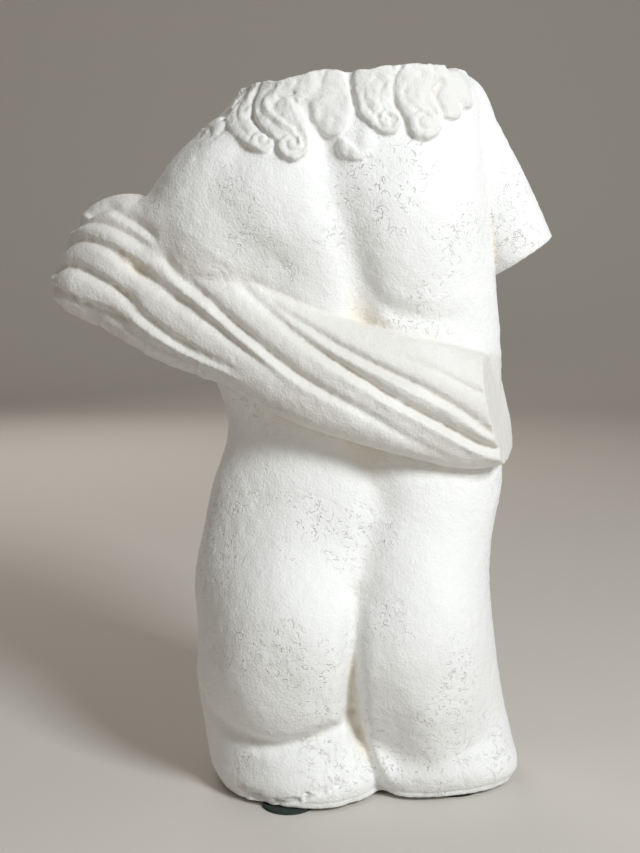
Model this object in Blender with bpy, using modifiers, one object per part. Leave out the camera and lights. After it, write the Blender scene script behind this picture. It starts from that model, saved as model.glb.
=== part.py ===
"""A plaster torso, cast in one piece after a broken classical marble, on four thin round pads.

Metres, +Z up. The figure faces +Y, so its back and the drapery across it face -Y. The underside of
the pads is at Z = 0, under the middle of the work. Forms are worked out as grids of points, each a
closed surface of its own, fused by a voxel remesh, cut flat below and broken off rough above.
"""

import bmesh
import bpy
import numpy as np

COLLECTION = "Plaster torso"
CUTTERS = "Cutters"

# Driving dimensions
PAD_THICKNESS = 0.003
PAD_DIAMETER = 0.048
PAD_GAP = 0.0003
SOLE = PAD_THICKNESS + PAD_GAP
BREAK_TOP = 0.6745  # height of the break across the hair, where it is highest
BREAK_PEAK_X = 0.113
BREAK_SLOPE = 0.080  # how fast the break falls to the left
BREAK_LEFT_X = 0.020
BREAK_FALL_LEFT = 0.4  # how much faster it falls beyond that place
BREAK_RISE_RIGHT = 5.0  # how fast it runs out over the right shoulder
BREAK_LEAN = 0.10  # how fast it falls towards the front
BREAK_RIPPLE = 0.0010
BREAK_CUTTER_HEIGHT = 0.15

# Trunk: height, left edge, right edge, depth behind and depth in front of the side line
TRUNK = {
    "below the sole": (-0.030, -0.076, 0.196, 0.076, 0.078),
    "sole": (0.003, -0.083, 0.204, 0.085, 0.084),
    "sole edge": (0.016, -0.090, 0.211, 0.087, 0.087),
    "thigh stubs": (0.035, -0.094, 0.207, 0.083, 0.087),
    "under the fold": (0.058, -0.097, 0.201, 0.078, 0.085),
    "seat": (0.100, -0.103, 0.192, 0.082, 0.084),
    "buttocks": (0.150, -0.102, 0.185, 0.090, 0.086),
    "hips": (0.205, -0.104, 0.180, 0.090, 0.090),
    "flanks": (0.250, -0.095, 0.183, 0.083, 0.090),
    "loins": (0.290, -0.087, 0.190, 0.076, 0.087),
    "waist": (0.345, -0.071, 0.189, 0.072, 0.084),
    "lower ribs": (0.410, -0.087, 0.188, 0.080, 0.090),
    "ribs": (0.480, -0.094, 0.182, 0.088, 0.100),
    "chest": (0.540, -0.106, 0.175, 0.094, 0.104),
    "shoulder blades": (0.580, -0.110, 0.172, 0.092, 0.100),
    "shoulders": (0.615, -0.096, 0.168, 0.084, 0.082),
    "collar": (0.645, -0.068, 0.166, 0.074, 0.064),
    "neck": (0.700, -0.048, 0.136, 0.062, 0.044),
}
TRUNK_SQUARENESS = 2.5
ARM_SQUARENESS = 2.2
CARVED_FROM = 0.75  # share of the depth at which the carving is at its full height
SIDE_LINE_Y = 0.004

# Rounded masses of the back and of the front: centre x, centre z, reach in x, reach in z, height, fullness.
# A fuller mass has a flatter middle and steeper sides.
BACK_MASSES = {
    "left shoulder blade": (-0.018, 0.545, 0.066, 0.066, 0.009, 1.1),
    "left shoulder": (-0.080, 0.545, 0.050, 0.056, 0.014, 1.1),
    "right shoulder blade": (0.106, 0.540, 0.052, 0.080, 0.013, 1.3),
    "left buttock": (-0.023, 0.142, 0.071, 0.094, 0.033, 1.9),
    "right buttock": (0.118, 0.138, 0.064, 0.095, 0.027, 1.7),
    "left loin": (-0.008, 0.290, 0.042, 0.055, 0.005, 1.0),
    "right loin": (0.122, 0.290, 0.040, 0.055, 0.005, 1.0),
    "left thigh stub": (-0.008, 0.012, 0.074, 0.034, 0.016, 1.4),
    "right thigh stub": (0.135, 0.022, 0.062, 0.030, 0.004, 1.0),
    "right of the cleft": (0.084, 0.045, 0.030, 0.055, -0.012, 1.0),
    "below the patch": (0.022, 0.598, 0.009, 0.014, -0.005, 1.0),
    "between the soles": (0.078, 0.000, 0.014, 0.016, -0.009, 1.0),
    "end of the left sole": (0.056, 0.000, 0.020, 0.020, -0.007, 1.0),
    "right of the sole": (0.132, 0.000, 0.078, 0.030, -0.012, 1.2),
}

FRONT_MASSES = {
    "left of the chest": (-0.020, 0.548, 0.058, 0.044, 0.009, 1.5),
    "right of the chest": (0.112, 0.550, 0.056, 0.044, 0.009, 1.5),
    "belly": (0.056, 0.295, 0.075, 0.080, 0.009, 1.2),
    "navel": (0.056, 0.338, 0.008, 0.010, -0.006, 1.0),
    "groin": (0.060, 0.168, 0.028, 0.028, 0.005, 1.2),
    "left thigh": (-0.018, 0.085, 0.066, 0.090, 0.009, 1.3),
    "right thigh": (0.138, 0.085, 0.060, 0.090, 0.007, 1.3),
}

# Furrows: half width, depth where each starts and ends, then the points (x, z) that it runs through
BACK_FURROWS = {
    "spine between the ribs": (
        0.017, 0.004, 0.013, [(0.016, 0.612), (0.030, 0.557), (0.050, 0.488), (0.056, 0.430)]
    ),
    "spine at the loins": (0.018, 0.011, 0.007, [(0.056, 0.430), (0.059, 0.330), (0.069, 0.285)]),
    "above the cleft": (0.015, 0.003, 0.010, [(0.072, 0.290), (0.063, 0.250), (0.050, 0.205)]),
    "cleft": (0.010, 0.010, 0.028, [(0.050, 0.205), (0.046, 0.150), (0.046, 0.085)]),
    "between the thighs": (0.009, 0.028, 0.010, [(0.046, 0.085), (0.058, 0.046), (0.079, -0.010)]),
    "left shoulder blade": (0.013, 0.001, 0.004, [(-0.078, 0.560), (-0.052, 0.527), (-0.022, 0.501)]),
    "under the right ribs": (
        0.009, 0.007, 0.002, [(0.056, 0.484), (0.072, 0.464), (0.104, 0.454), (0.140, 0.452)]
    ),
    "under the left buttock": (
        0.009, 0.010, 0.013, [(-0.100, 0.092), (-0.070, 0.068), (-0.030, 0.060), (0.038, 0.076)]
    ),
    "under the right buttock": (
        0.013, 0.007, 0.003, [(0.056, 0.060), (0.086, 0.044), (0.124, 0.040), (0.165, 0.052)]
    ),
}

FRONT_FURROWS = {
    "middle of the chest": (
        0.012, 0.005, 0.004, [(0.040, 0.590), (0.046, 0.520), (0.050, 0.440), (0.055, 0.360)]
    ),
    "arch of the ribs": (
        0.012, 0.003, 0.003,
        [(-0.062, 0.420), (-0.030, 0.468), (0.046, 0.494), (0.118, 0.470), (0.152, 0.425)],
    ),
    "left groin": (0.012, 0.004, 0.006, [(-0.098, 0.280), (-0.060, 0.246), (0.000, 0.200), (0.044, 0.160)]),
    "right groin": (0.012, 0.004, 0.006, [(0.182, 0.290), (0.152, 0.250), (0.110, 0.205), (0.074, 0.160)]),
    "between the thighs": (0.015, 0.006, 0.022, [(0.059, 0.150), (0.061, 0.080), (0.066, -0.010)]),
}

# Arms: points (x, y, z) down the middle, then half width and half depth at each
RIGHT_ARM = [
    ((0.096, 0.010, 0.666), 0.014, 0.028),
    ((0.112, 0.010, 0.654), 0.035, 0.040),
    ((0.128, 0.012, 0.638), 0.0455, 0.046),
    ((0.146, 0.016, 0.612), 0.042, 0.048),
    ((0.179, 0.020, 0.560), 0.038, 0.043),
    ((0.2105, 0.022, 0.503), 0.034, 0.039),
    ((0.231, 0.024, 0.460), 0.032, 0.037),
]
RIGHT_ARM_CUT = ((0.235, 0.022, 0.5247), (0.560, 0.000, -0.828))
LEFT_ARM = [
    ((-0.010, -0.010, 0.608), 0.044, 0.062),
    ((-0.068, -0.015, 0.575), 0.050, 0.068),
    ((-0.118, -0.006, 0.522), 0.048, 0.060),
    ((-0.168, 0.006, 0.506), 0.044, 0.047),
]

# Muscle that fills the corner between the left arm and the back: the same kind of stations
LEFT_FLANK = [
    ((-0.062, -0.014, 0.592), 0.030, 0.038),
    ((-0.066, -0.021, 0.556), 0.062, 0.060),
    ((-0.070, -0.024, 0.515), 0.066, 0.063),
    ((-0.074, -0.020, 0.450), 0.040, 0.040),
]

# Cloth gathered round the elbow: middles of rounded lumps and their reach, in x, y and z
GATHERED = {
    "under the elbow": ((-0.161, -0.022, 0.481), (0.036, 0.042, 0.050)),
    "over the elbow": ((-0.148, 0.031, 0.516), (0.042, 0.038, 0.042)),
}

# Drapery: points (x, y, z) down the middle, then half width across the cloth and half depth
DRAPE = [
    ((-0.060, 0.050, 0.545), 0.030, 0.020),
    ((-0.098, 0.054, 0.532), 0.036, 0.028),
    ((-0.138, 0.056, 0.512), 0.041, 0.033),
    ((-0.172, 0.046, 0.498), 0.042, 0.036),
    ((-0.190, 0.024, 0.488), 0.043, 0.040),
    ((-0.187, 0.000, 0.494), 0.054, 0.045),
    ((-0.168, -0.010, 0.501), 0.064, 0.048),
    ((-0.140, -0.016, 0.488), 0.065, 0.051),
    ((-0.103, -0.030, 0.465), 0.061, 0.050),
    ((-0.070, -0.045, 0.449), 0.057, 0.047),
    ((-0.040, -0.058, 0.435), 0.052, 0.043),
    ((0.008, -0.070, 0.410), 0.052, 0.042),
    ((0.060, -0.075, 0.393), 0.052, 0.041),
    ((0.114, -0.068, 0.379), 0.053, 0.042),
    ((0.158, -0.049, 0.368), 0.052, 0.044),
    ((0.186, -0.038, 0.366), 0.047, 0.043),
    ((0.218, -0.028, 0.360), 0.040, 0.041),
]
DRAPE_LEAN = 28.0  # degrees that the cloth round the elbow leans over to the right
DRAPE_END = ((0.170, -0.080, 0.370), (0.940, -0.280, 0.180))
DRAPE_SQUARE_ABOVE = 2.1
DRAPE_SQUARE_BELOW = 3.0
DRAPE_START = -0.211  # x at which distance along the folds is nought

# Folds: half width as a share of the cloth's, then distance along the cloth, place across it (such a
# share too) and depth at a few stations. A negative depth is a ridge, which catches the light.
FOLDS = {
    "main": (0.080, [
        (-0.190, 0.80, 0.0040), (0.010, 0.80, 0.0045), (0.032, 0.82, 0.0050), (0.043, 0.70, 0.0050),
        (0.058, 0.55, 0.0050), (0.080, 0.47, 0.0055), (0.121, 0.33, 0.0065), (0.149, 0.24, 0.0075),
        (0.197, 0.01, 0.0080), (0.237, -0.13, 0.0075), (0.275, -0.28, 0.0060), (0.307, -0.42, 0.0042),
        (0.343, -0.62, 0.0028), (0.385, -0.82, 0.0010)]),
    "shoulder": (0.055, [
        (0.030, 0.98, 0.0000), (0.045, 0.90, 0.0034), (0.059, 0.78, 0.0036), (0.074, 0.71, 0.0026),
        (0.092, 0.65, 0.0000)]),
    "elbow upper": (0.075, [
        (-0.170, 0.42, 0.0040), (0.008, 0.43, 0.0048), (0.027, 0.54, 0.0055), (0.042, 0.46, 0.0055),
        (0.060, 0.42, 0.0038), (0.090, 0.36, 0.0000)]),
    "elbow middle": (0.085, [
        (-0.190, 0.08, 0.0050), (0.010, 0.08, 0.0055), (0.026, 0.23, 0.0062), (0.036, 0.19, 0.0070),
        (0.050, 0.09, 0.0074), (0.076, 0.06, 0.0072), (0.105, 0.04, 0.0072), (0.132, 0.00, 0.0078),
        (0.161, -0.08, 0.0070), (0.195, -0.23, 0.0048), (0.235, -0.34, 0.0000)]),
    "elbow lower": (0.062, [
        (-0.150, -0.30, 0.0000), (-0.100, -0.32, 0.0035), (0.010, -0.32, 0.0036), (0.024, -0.26, 0.0045),
        (0.044, -0.32, 0.0050), (0.070, -0.37, 0.0056), (0.100, -0.44, 0.0060), (0.125, -0.51, 0.0060),
        (0.145, -0.57, 0.0052), (0.176, -0.62, 0.0030), (0.210, -0.62, 0.0000)]),
    "hem under the elbow": (0.050, [
        (0.008, -0.56, 0.0020), (0.024, -0.84, 0.0032), (0.062, -0.74, 0.0040), (0.105, -0.77, 0.0040),
        (0.134, -0.79, 0.0030), (0.170, -0.82, 0.0000)]),
    "back lower": (0.075, [
        (0.100, 0.88, 0.0000), (0.125, 0.82, 0.0030), (0.150, 0.75, 0.0038), (0.181, 0.62, 0.0052),
        (0.212, 0.48, 0.0066), (0.256, 0.32, 0.0078), (0.292, 0.15, 0.0084), (0.326, -0.05, 0.0084),
        (0.359, -0.21, 0.0084), (0.398, -0.39, 0.0078), (0.441, -0.66, 0.0070)]),
    "back upper": (0.066, [
        (0.185, 0.70, 0.0000), (0.215, 0.64, 0.0042), (0.249, 0.59, 0.0060), (0.275, 0.50, 0.0072),
        (0.322, 0.34, 0.0068), (0.347, 0.24, 0.0062), (0.371, 0.10, 0.0056), (0.402, -0.13, 0.0050),
        (0.440, -0.40, 0.0046)]),
    "back edge": (0.050, [
        (0.300, 0.69, 0.0000), (0.335, 0.63, 0.0024), (0.367, 0.51, 0.0032), (0.390, 0.43, 0.0034),
        (0.430, 0.26, 0.0030)]),
    "ridge under the main fold": (0.060, [
        (0.070, 0.36, 0.0000), (0.118, 0.19, -0.0018), (0.150, 0.09, -0.0028), (0.180, -0.06, -0.0030),
        (0.210, -0.19, -0.0030), (0.240, -0.28, -0.0024), (0.270, -0.40, -0.0014),
        (0.300, -0.52, 0.0000)]),
    "ridge under the elbow": (0.055, [
        (0.055, -0.52, 0.0000), (0.083, -0.56, -0.0016), (0.114, -0.62, -0.0022), (0.150, -0.70, -0.0026),
        (0.182, -0.74, -0.0020), (0.215, -0.74, 0.0000)]),
    "lower ridge on the back": (0.055, [
        (0.240, 0.22, 0.0000), (0.285, 0.03, -0.0016), (0.310, -0.11, -0.0024), (0.345, -0.28, -0.0026),
        (0.388, -0.50, -0.0026), (0.435, -0.78, -0.0020)]),
    "upper ridge on the back": (0.050, [
        (0.250, 0.44, 0.0000), (0.290, 0.32, -0.0016), (0.322, 0.20, -0.0020), (0.360, 0.03, -0.0020),
        (0.405, -0.28, -0.0018)]),
}

# Distance along the cloth over which those folds begin, past its bend round the elbow
FOLDS_BEGIN = (0.040, 0.062)
# Folds carved over the bend: depth, half width, then the places (x, z) that each passes
BEND_FOLDS = {
    "main": (0.0055, 0.0046, [
        (-0.1950, 0.5470), (-0.1850, 0.5520), (-0.1759, 0.5537), (-0.1652, 0.5488), (-0.1496, 0.5386),
        (-0.1349, 0.5269), (-0.1257, 0.5154)]),
    "shoulder": (0.0048, 0.0040, [
        (-0.2130, 0.5350), (-0.2025, 0.5395), (-0.1888, 0.5399), (-0.1734, 0.5361), (-0.1587, 0.5288),
        (-0.1442, 0.5199), (-0.1303, 0.5110)]),
    "upper": (0.0058, 0.0046, [
        (-0.2400, 0.5000), (-0.2255, 0.5140), (-0.2098, 0.5228), (-0.1926, 0.5218), (-0.1775, 0.5163),
        (-0.1628, 0.5065), (-0.1446, 0.4941), (-0.1261, 0.4809)]),
    "middle": (0.0062, 0.0048, [
        (-0.2320, 0.4900), (-0.2257, 0.4975), (-0.2127, 0.5000), (-0.1962, 0.4939), (-0.1813, 0.4860),
        (-0.1670, 0.4772), (-0.1537, 0.4665), (-0.1399, 0.4542)]),
    "lower": (0.0050, 0.0042, [
        (-0.2440, 0.4860), (-0.2334, 0.4800), (-0.2177, 0.4708), (-0.2076, 0.4637), (-0.1929, 0.4585),
        (-0.1777, 0.4554), (-0.1637, 0.4484), (-0.1500, 0.4377)]),
}

# Height of each lock over the skin, then (x, z, half width) down the middle of its band
LOCKS = {
    "forward": (0.0085, [(-0.0475, 0.660, 0.0030), (-0.0515, 0.652, 0.0035), (-0.0575, 0.641, 0.0040),
                         (-0.0640, 0.629, 0.0030)]),
    "on the shoulder": (0.0080, [(-0.0635, 0.627, 0.0050), (-0.0730, 0.619, 0.0070),
                                 (-0.0820, 0.613, 0.0080), (-0.0880, 0.608, 0.0065)]),
    "left": (0.0070, [(-0.0255, 0.678, 0.0080), (-0.0345, 0.661, 0.0090), (-0.0440, 0.645, 0.0098),
                      (-0.0530, 0.633, 0.0106), (-0.0555, 0.624, 0.0106), (-0.0500, 0.616, 0.0108),
                      (-0.0390, 0.608, 0.0104)]),
    "patch": (0.0055, [(0.0255, 0.680, 0.0117), (0.0255, 0.6665, 0.0120), (0.0254, 0.652, 0.0160),
                       (0.0256, 0.636, 0.0186), (0.0270, 0.623, 0.0135), (0.0285, 0.6155, 0.0055)]),
    "left inner": (0.0080, [(0.0000, 0.678, 0.0225), (-0.0080, 0.658, 0.0215), (-0.0185, 0.644, 0.0200),
                            (-0.0205, 0.633, 0.0208), (-0.0125, 0.620, 0.0175), (-0.0055, 0.608, 0.0130)]),
    "right inner": (0.0080, [(0.0740, 0.682, 0.0280), (0.0675, 0.662, 0.0238), (0.0615, 0.647, 0.0160),
                             (0.0650, 0.636, 0.0158), (0.0710, 0.627, 0.0140)]),
    "last on the right": (0.0062, [(0.1330, 0.668, 0.0100), (0.1410, 0.658, 0.0110),
                                   (0.1445, 0.646, 0.0096)]),
    "right outer": (0.0066, [(0.1220, 0.673, 0.0123), (0.1275, 0.651, 0.0120), (0.1310, 0.636, 0.0108)]),
    "right": (0.0085, [(0.1150, 0.682, 0.0195), (0.1030, 0.665, 0.0176), (0.0960, 0.651, 0.0167),
                       (0.0995, 0.640, 0.0170), (0.1055, 0.630, 0.0160)]),
    "knob": (0.0045, [(0.0350, 0.6060, 0.0045), (0.0385, 0.5995, 0.0072), (0.0460, 0.5945, 0.0060),
                      (0.0530, 0.5925, 0.0035)]),
}
# The disc (x, z, half width) that a lock's curl fills at its end
CURLS = {
    "on the shoulder": (-0.0830, 0.6120, 0.0085),
    "left": (-0.0345, 0.6060, 0.0112),
    "left inner": (-0.0070, 0.6020, 0.0142),
    "right inner": (0.0755, 0.6230, 0.0124),
    "right": (0.1070, 0.6220, 0.0160),
}
# Height, softness and band of the places where the carving is worn level between forms
WORN_LEVEL = {
    "above the patch": (0.0064, 0.0060, [
        (0.0100, 0.684, 0.0160), (0.0095, 0.660, 0.0120), (0.0050, 0.645, 0.0060)]),
    "between the right locks": (0.0062, 0.0050, [
        (0.1240, 0.684, 0.0180), (0.1340, 0.664, 0.0140), (0.1370, 0.655, 0.0120),
        (0.1375, 0.646, 0.0070)]),
    "beside the knob": (0.0022, 0.0120, [
        (0.0570, 0.624, 0.0070), (0.0570, 0.607, 0.0120), (0.0550, 0.597, 0.0100)]),
}
# Rise of each main strand (a groove is negative), its half width, and the places (x, z) it passes
STRANDS = {
    "left, outer groove": (-0.0024, 0.0018, [
        (-0.039, 0.657), (-0.048, 0.644), (-0.055, 0.633), (-0.054, 0.624), (-0.046, 0.610)]),
    "inner, main strand": (0.0020, 0.0026, [
        (-0.015, 0.658), (-0.021, 0.646), (-0.029, 0.637), (-0.026, 0.628), (-0.006, 0.612)]),
    "inner, deep groove": (-0.0030, 0.0020, [
        (-0.004, 0.647), (-0.020, 0.640), (-0.023, 0.634), (-0.019, 0.627), (-0.001, 0.612)]),
    "right inner, outer groove": (-0.0028, 0.0018, [
        (0.066, 0.662), (0.059, 0.654), (0.055, 0.644), (0.057, 0.635), (0.068, 0.624)]),
    "right, outer groove": (-0.0026, 0.0018, [
        (0.089, 0.648), (0.091, 0.640), (0.098, 0.633), (0.112, 0.624), (0.114, 0.616)]),
    "between right and outer": (-0.0030, 0.0022, [
        (0.123, 0.658), (0.119, 0.651), (0.117, 0.644), (0.120, 0.637), (0.124, 0.631)]),
}
LOCK_EDGE = 0.0030  # how wide the steep edge of a lock is
LOCK_CROWN = 0.22  # share of the height that a lock gains from its edge to its middle
LOCK_CROWNED_IN = 0.010
EDGE_FURROW = 0.65  # how far a lock presses in what it lies on, as a share of the height there
EDGE_FURROW_WIDTH = 0.0022
SUNK = 0.0025  # how far under the skin the hair's shell runs where there is no hair
HAIR_LOW, HAIR_HIGH = 0.582, 0.692
HAIR_ROWS, HAIR_COLUMNS = 72, 180

# Middle, radius and passes of the places where the joins between forms are rubbed smooth, and
# whether the drapery is kept as it is there
SANDED = {
    "left shoulder": ((-0.088, -0.080, 0.530), 0.080, 200, True),
    "end of the break": ((0.146, -0.010, 0.670), 0.032, 40, True),
    "bend of the cloth": ((-0.178, -0.057, 0.474), 0.038, 90, False),
    "under the elbow": ((-0.178, -0.034, 0.444), 0.030, 60, False),
    "cloth on the arm": ((-0.136, -0.060, 0.531), 0.034, 60, False),
    "edge on the shoulder": ((-0.108, -0.075, 0.536), 0.024, 40, False),
    "edge on the back": ((-0.084, -0.085, 0.518), 0.022, 30, False),
}

# Fineness of the faceted solid
AROUND = 96
ALONG = 120
VOXEL = 0.0026
TRIANGLES = 8900


def flowing(at, stops, values):
    """Values on one smooth curve through the stops: cubic pieces with centred slopes."""
    stops = np.asarray(stops, float)
    values = np.asarray(values, float)
    slopes = np.gradient(values, stops, axis=0)
    at = np.clip(at, stops[0], stops[-1])
    piece = np.clip(np.searchsorted(stops, at, side="right") - 1, 0, len(stops) - 2)
    span = stops[piece + 1] - stops[piece]
    share = (at - stops[piece]) / span
    if values.ndim > 1:
        span = span[..., None]
        share = share[..., None]
    return (
        (2 * share**3 - 3 * share**2 + 1) * values[piece]
        + (share**3 - 2 * share**2 + share) * span * slopes[piece]
        + (3 * share**2 - 2 * share**3) * values[piece + 1]
        + (share**3 - share**2) * span * slopes[piece + 1]
    )


def smooth_path(points, count):
    """The points that a smooth curve through these takes, evenly spread, and the share of each."""
    points = np.asarray(points, float)
    steps = np.linalg.norm(np.diff(points, axis=0), axis=1)
    stops = np.concatenate([[0.0], np.cumsum(steps)])
    at = np.linspace(0, stops[-1], count)
    return flowing(at, stops, points), at, stops


def eased(value, low, high):
    """0 up to low, 1 from high, and a smooth step between them."""
    share = np.clip((value - low) / (high - low), 0, 1)
    return share * share * (3 - 2 * share)


def along_line(x, z, points):
    """Distance from each place (x, z) to the line through the points, and the share of the way."""
    nearest = np.full(np.shape(x), np.inf)
    way = np.zeros(np.shape(x))
    for number, ((x0, z0), (x1, z1)) in enumerate(zip(points[:-1], points[1:])):
        run_x, run_z = x1 - x0, z1 - z0
        share = ((x - x0) * run_x + (z - z0) * run_z) / (run_x**2 + run_z**2)
        share = np.clip(share, 0, 1)
        distance = np.hypot(x - x0 - share * run_x, z - z0 - share * run_z)
        way = np.where(distance < nearest, (number + share) / (len(points) - 1), way)
        nearest = np.minimum(nearest, distance)
    return nearest, way


def carving(x, z, masses, furrows):
    """How far a side stands out of the plain trunk at a place: rounded masses, less furrows.
    Where furrows meet, the sum of their cubes keeps the place from getting deeper than either."""
    height = np.zeros(np.shape(x))
    for middle_x, middle_z, reach_x, reach_z, rise, fullness in masses.values():
        spread = ((x - middle_x) / reach_x) ** 2 + ((z - middle_z) / reach_z) ** 2
        height += rise * np.exp(-(spread**fullness))
    cubes = np.zeros(np.shape(x))
    for half_width, first, last, points in furrows.values():
        route, _, _ = smooth_path(points, 4 * len(points))
        distance, way = along_line(x, z, route)
        cubes += ((first + (last - first) * way) * np.exp(-((distance / half_width) ** 2))) ** 3
    return height - np.cbrt(cubes)


def trunk_sizes(z):
    """Middle, half width, back depth and front depth of the plain trunk at a height."""
    table = np.array(list(TRUNK.values()))
    left, right, back, front = flowing(z, table[:, 0], table[:, 1:]).T
    return (left + right) / 2, (right - left) / 2, back, front


def back_of_trunk(x, z):
    """The y of the carved back at a place (x, z)."""
    middle, half, back, _ = trunk_sizes(np.asarray(z, float).ravel())
    middle, half, back = (part.reshape(np.shape(z)) for part in (middle, half, back))
    share = np.clip(np.abs((x - middle) / half), 0, 1)
    plain = (1 - share**TRUNK_SQUARENESS) ** (1 / TRUNK_SQUARENESS)
    raised = carving(x, z, BACK_MASSES, BACK_FURROWS)
    return SIDE_LINE_Y - back * plain - raised * eased(plain, 0, CARVED_FROM)


def rounded(cosine, sine, square):
    """A point on a rounded square of half size 1: a superellipse."""
    power = 2 / square
    return np.sign(cosine) * np.abs(cosine) ** power, np.sign(sine) * np.abs(sine) ** power


def trunk_grid():
    """The trunk: rounded-square outlines stacked up, with the carving pushed out of the back."""
    table = np.array(list(TRUNK.values()))
    turn = np.linspace(0, 2 * np.pi, AROUND * 2, endpoint=False)
    heights = np.linspace(table[0, 0], table[-1, 0], ALONG * 2)
    turn, z = np.meshgrid(turn, heights)
    middle, half, back, front = (part[:, None] for part in trunk_sizes(heights))
    across, deep = rounded(np.cos(turn), np.sin(turn), TRUNK_SQUARENESS)
    x = middle + half * across
    y = SIDE_LINE_Y + np.where(deep < 0, back, front) * deep
    y -= carving(x, z, BACK_MASSES, BACK_FURROWS) * eased(-deep, 0, CARVED_FROM)
    y += carving(x, z, FRONT_MASSES, FRONT_FURROWS) * eased(deep, 0, CARVED_FROM)
    return np.stack([x, y, z], axis=-1)


def path_frames(path, up):
    """Directions along, across and out of a path; across is as near to up as it can be."""
    along = np.gradient(path, axis=0)
    along /= np.linalg.norm(along, axis=1, keepdims=True)
    out = np.cross(along, up)
    out /= np.linalg.norm(out, axis=1, keepdims=True)
    across = np.cross(out, along)
    return along, across, out


def cut_by(grid, along, plane):
    """Points past a plane (a point on it, and the way it faces) slid back along the path onto it."""
    point, facing = (np.asarray(part, float) for part in plane)
    past = np.clip((grid - point) @ facing, 0, None)
    slope = np.clip(along @ facing, 0.2, None)
    return grid - (past / slope[:, None])[..., None] * along[:, None, :]


def arm_grid(stations, plane=None):
    """An arm: rounded sections along its path, cut off flat where it ends in a plane."""
    points = [station[0] for station in stations]
    path, at, stops = smooth_path(points, ALONG)
    half, deep = flowing(at, stops, [station[1:] for station in stations]).T
    along, across, out = path_frames(path, np.array([0.0, -1.0, 0.0]))
    turn = np.linspace(0, 2 * np.pi, AROUND, endpoint=False)
    width, depth = rounded(np.cos(turn), np.sin(turn), ARM_SQUARENESS)
    grid = (
        path[:, None]
        + (half[:, None] * width)[..., None] * out[:, None]
        + (deep[:, None] * depth)[..., None] * across[:, None]
    )
    return cut_by(grid, along, plane) if plane else grid


def fold_relief(distance, share):
    """How far the cloth is sunk at a distance along it and a share of the half width across it.
    Each fold's line and depth run smoothly through its stations."""
    relief = np.zeros(np.broadcast_shapes(distance.shape, share.shape))
    for half_width, stations in FOLDS.values():
        stops, *values = np.array(stations).T
        line, depth = flowing(distance[:, 0], stops, np.stack(values, axis=1)).T[..., None]
        first, last = stops[0], stops[-1]
        within = eased(distance, first - 0.004, first) * eased(-distance, -last - 0.004, -last)
        relief -= depth * within * np.exp(-(np.abs((share - line) / half_width) ** 1.6))
    return relief * eased(np.abs(distance), *FOLDS_BEGIN)


def drape_grid():
    """The drapery: rounded sections along its path, sunk along the folds, squarer at the hem."""
    path, at, stops = smooth_path([station[0] for station in DRAPE], 2 * ALONG)
    half, deep = flowing(at, stops, [station[1:] for station in DRAPE]).T
    lean = np.radians(DRAPE_LEAN)
    along, across, out = path_frames(path, np.array([np.sin(lean), 0.0, np.cos(lean)]))
    turn = np.linspace(0, 2 * np.pi, 2 * AROUND, endpoint=False)
    above = rounded(np.cos(turn), np.sin(turn), DRAPE_SQUARE_ABOVE)
    below = rounded(np.cos(turn), np.sin(turn), DRAPE_SQUARE_BELOW)
    width, depth = np.where(np.cos(turn) > 0, above, below)
    first = at[np.argmin(path[:, 0])]
    start = np.interp(DRAPE_START, path[at >= first][:, 0], at[at >= first])
    relief = fold_relief((at - start)[:, None], width[None, :]) * eased(depth, 0, 0.5)
    grid = (
        path[:, None]
        + (half[:, None] * width)[..., None] * across[:, None]
        + (deep[:, None] * depth + relief)[..., None] * out[:, None]
    )
    return cut_by(grid, along, DRAPE_END)


def inside_line(x, z, line):
    """How far inside a band (x, z, half width) each place lies: the most, over its middle line, of
    the half width less the distance. Places well outside are left at minus the margin."""
    margin = 0.006
    low = (line[:, :2] - line[:, 2:]).min(axis=0) - margin
    high = (line[:, :2] + line[:, 2:]).max(axis=0) + margin
    inside = np.full(np.shape(x), -margin)
    close = (x > low[0]) & (x < high[0]) & (z > low[1]) & (z < high[1])
    gap = np.hypot(x[close][:, None] - line[:, 0], z[close][:, None] - line[:, 1])
    inside[close] = (line[:, 2] - gap).max(axis=1, initial=-margin)
    return inside


def laid_over(hair, height, inside):
    """A form laid over the hair so far: a furrow pressed in along its edge, then its own height."""
    pressed = hair * (1 - EDGE_FURROW * np.exp(-((inside / EDGE_FURROW_WIDTH) ** 2)))
    return np.maximum(pressed, height * eased(inside, 0, LOCK_EDGE))


def hair_height(x, z):
    """Height of the hair over the skin at places (x, z): the locks with their curls, the places
    worn level between them, then the main strands."""
    hair = np.zeros(np.shape(x))
    for name, (height, points) in LOCKS.items():
        band, _, _ = smooth_path(points, 60)
        if name in CURLS:
            band = np.concatenate([band, [CURLS[name]]])
        inside = inside_line(x, z, band)
        crown = 1 - LOCK_CROWN + LOCK_CROWN * eased(inside, 0, LOCK_CROWNED_IN)
        hair = laid_over(hair, height * crown, inside)
    for height, softness, points in WORN_LEVEL.values():
        inside = inside_line(x, z, smooth_path(points, 60)[0])
        hair = np.maximum(hair, height * eased(inside, 0, softness))
    present = eased(hair, 0.001, 0.004)
    for rise, half_width, points in STRANDS.values():
        line = np.insert(smooth_path(points, 60)[0], 2, half_width, axis=1)
        gap = half_width - inside_line(x, z, line)
        hair = hair + present * rise * np.exp(-((gap / half_width) ** 2))
    return np.maximum(hair, 0)


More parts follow.
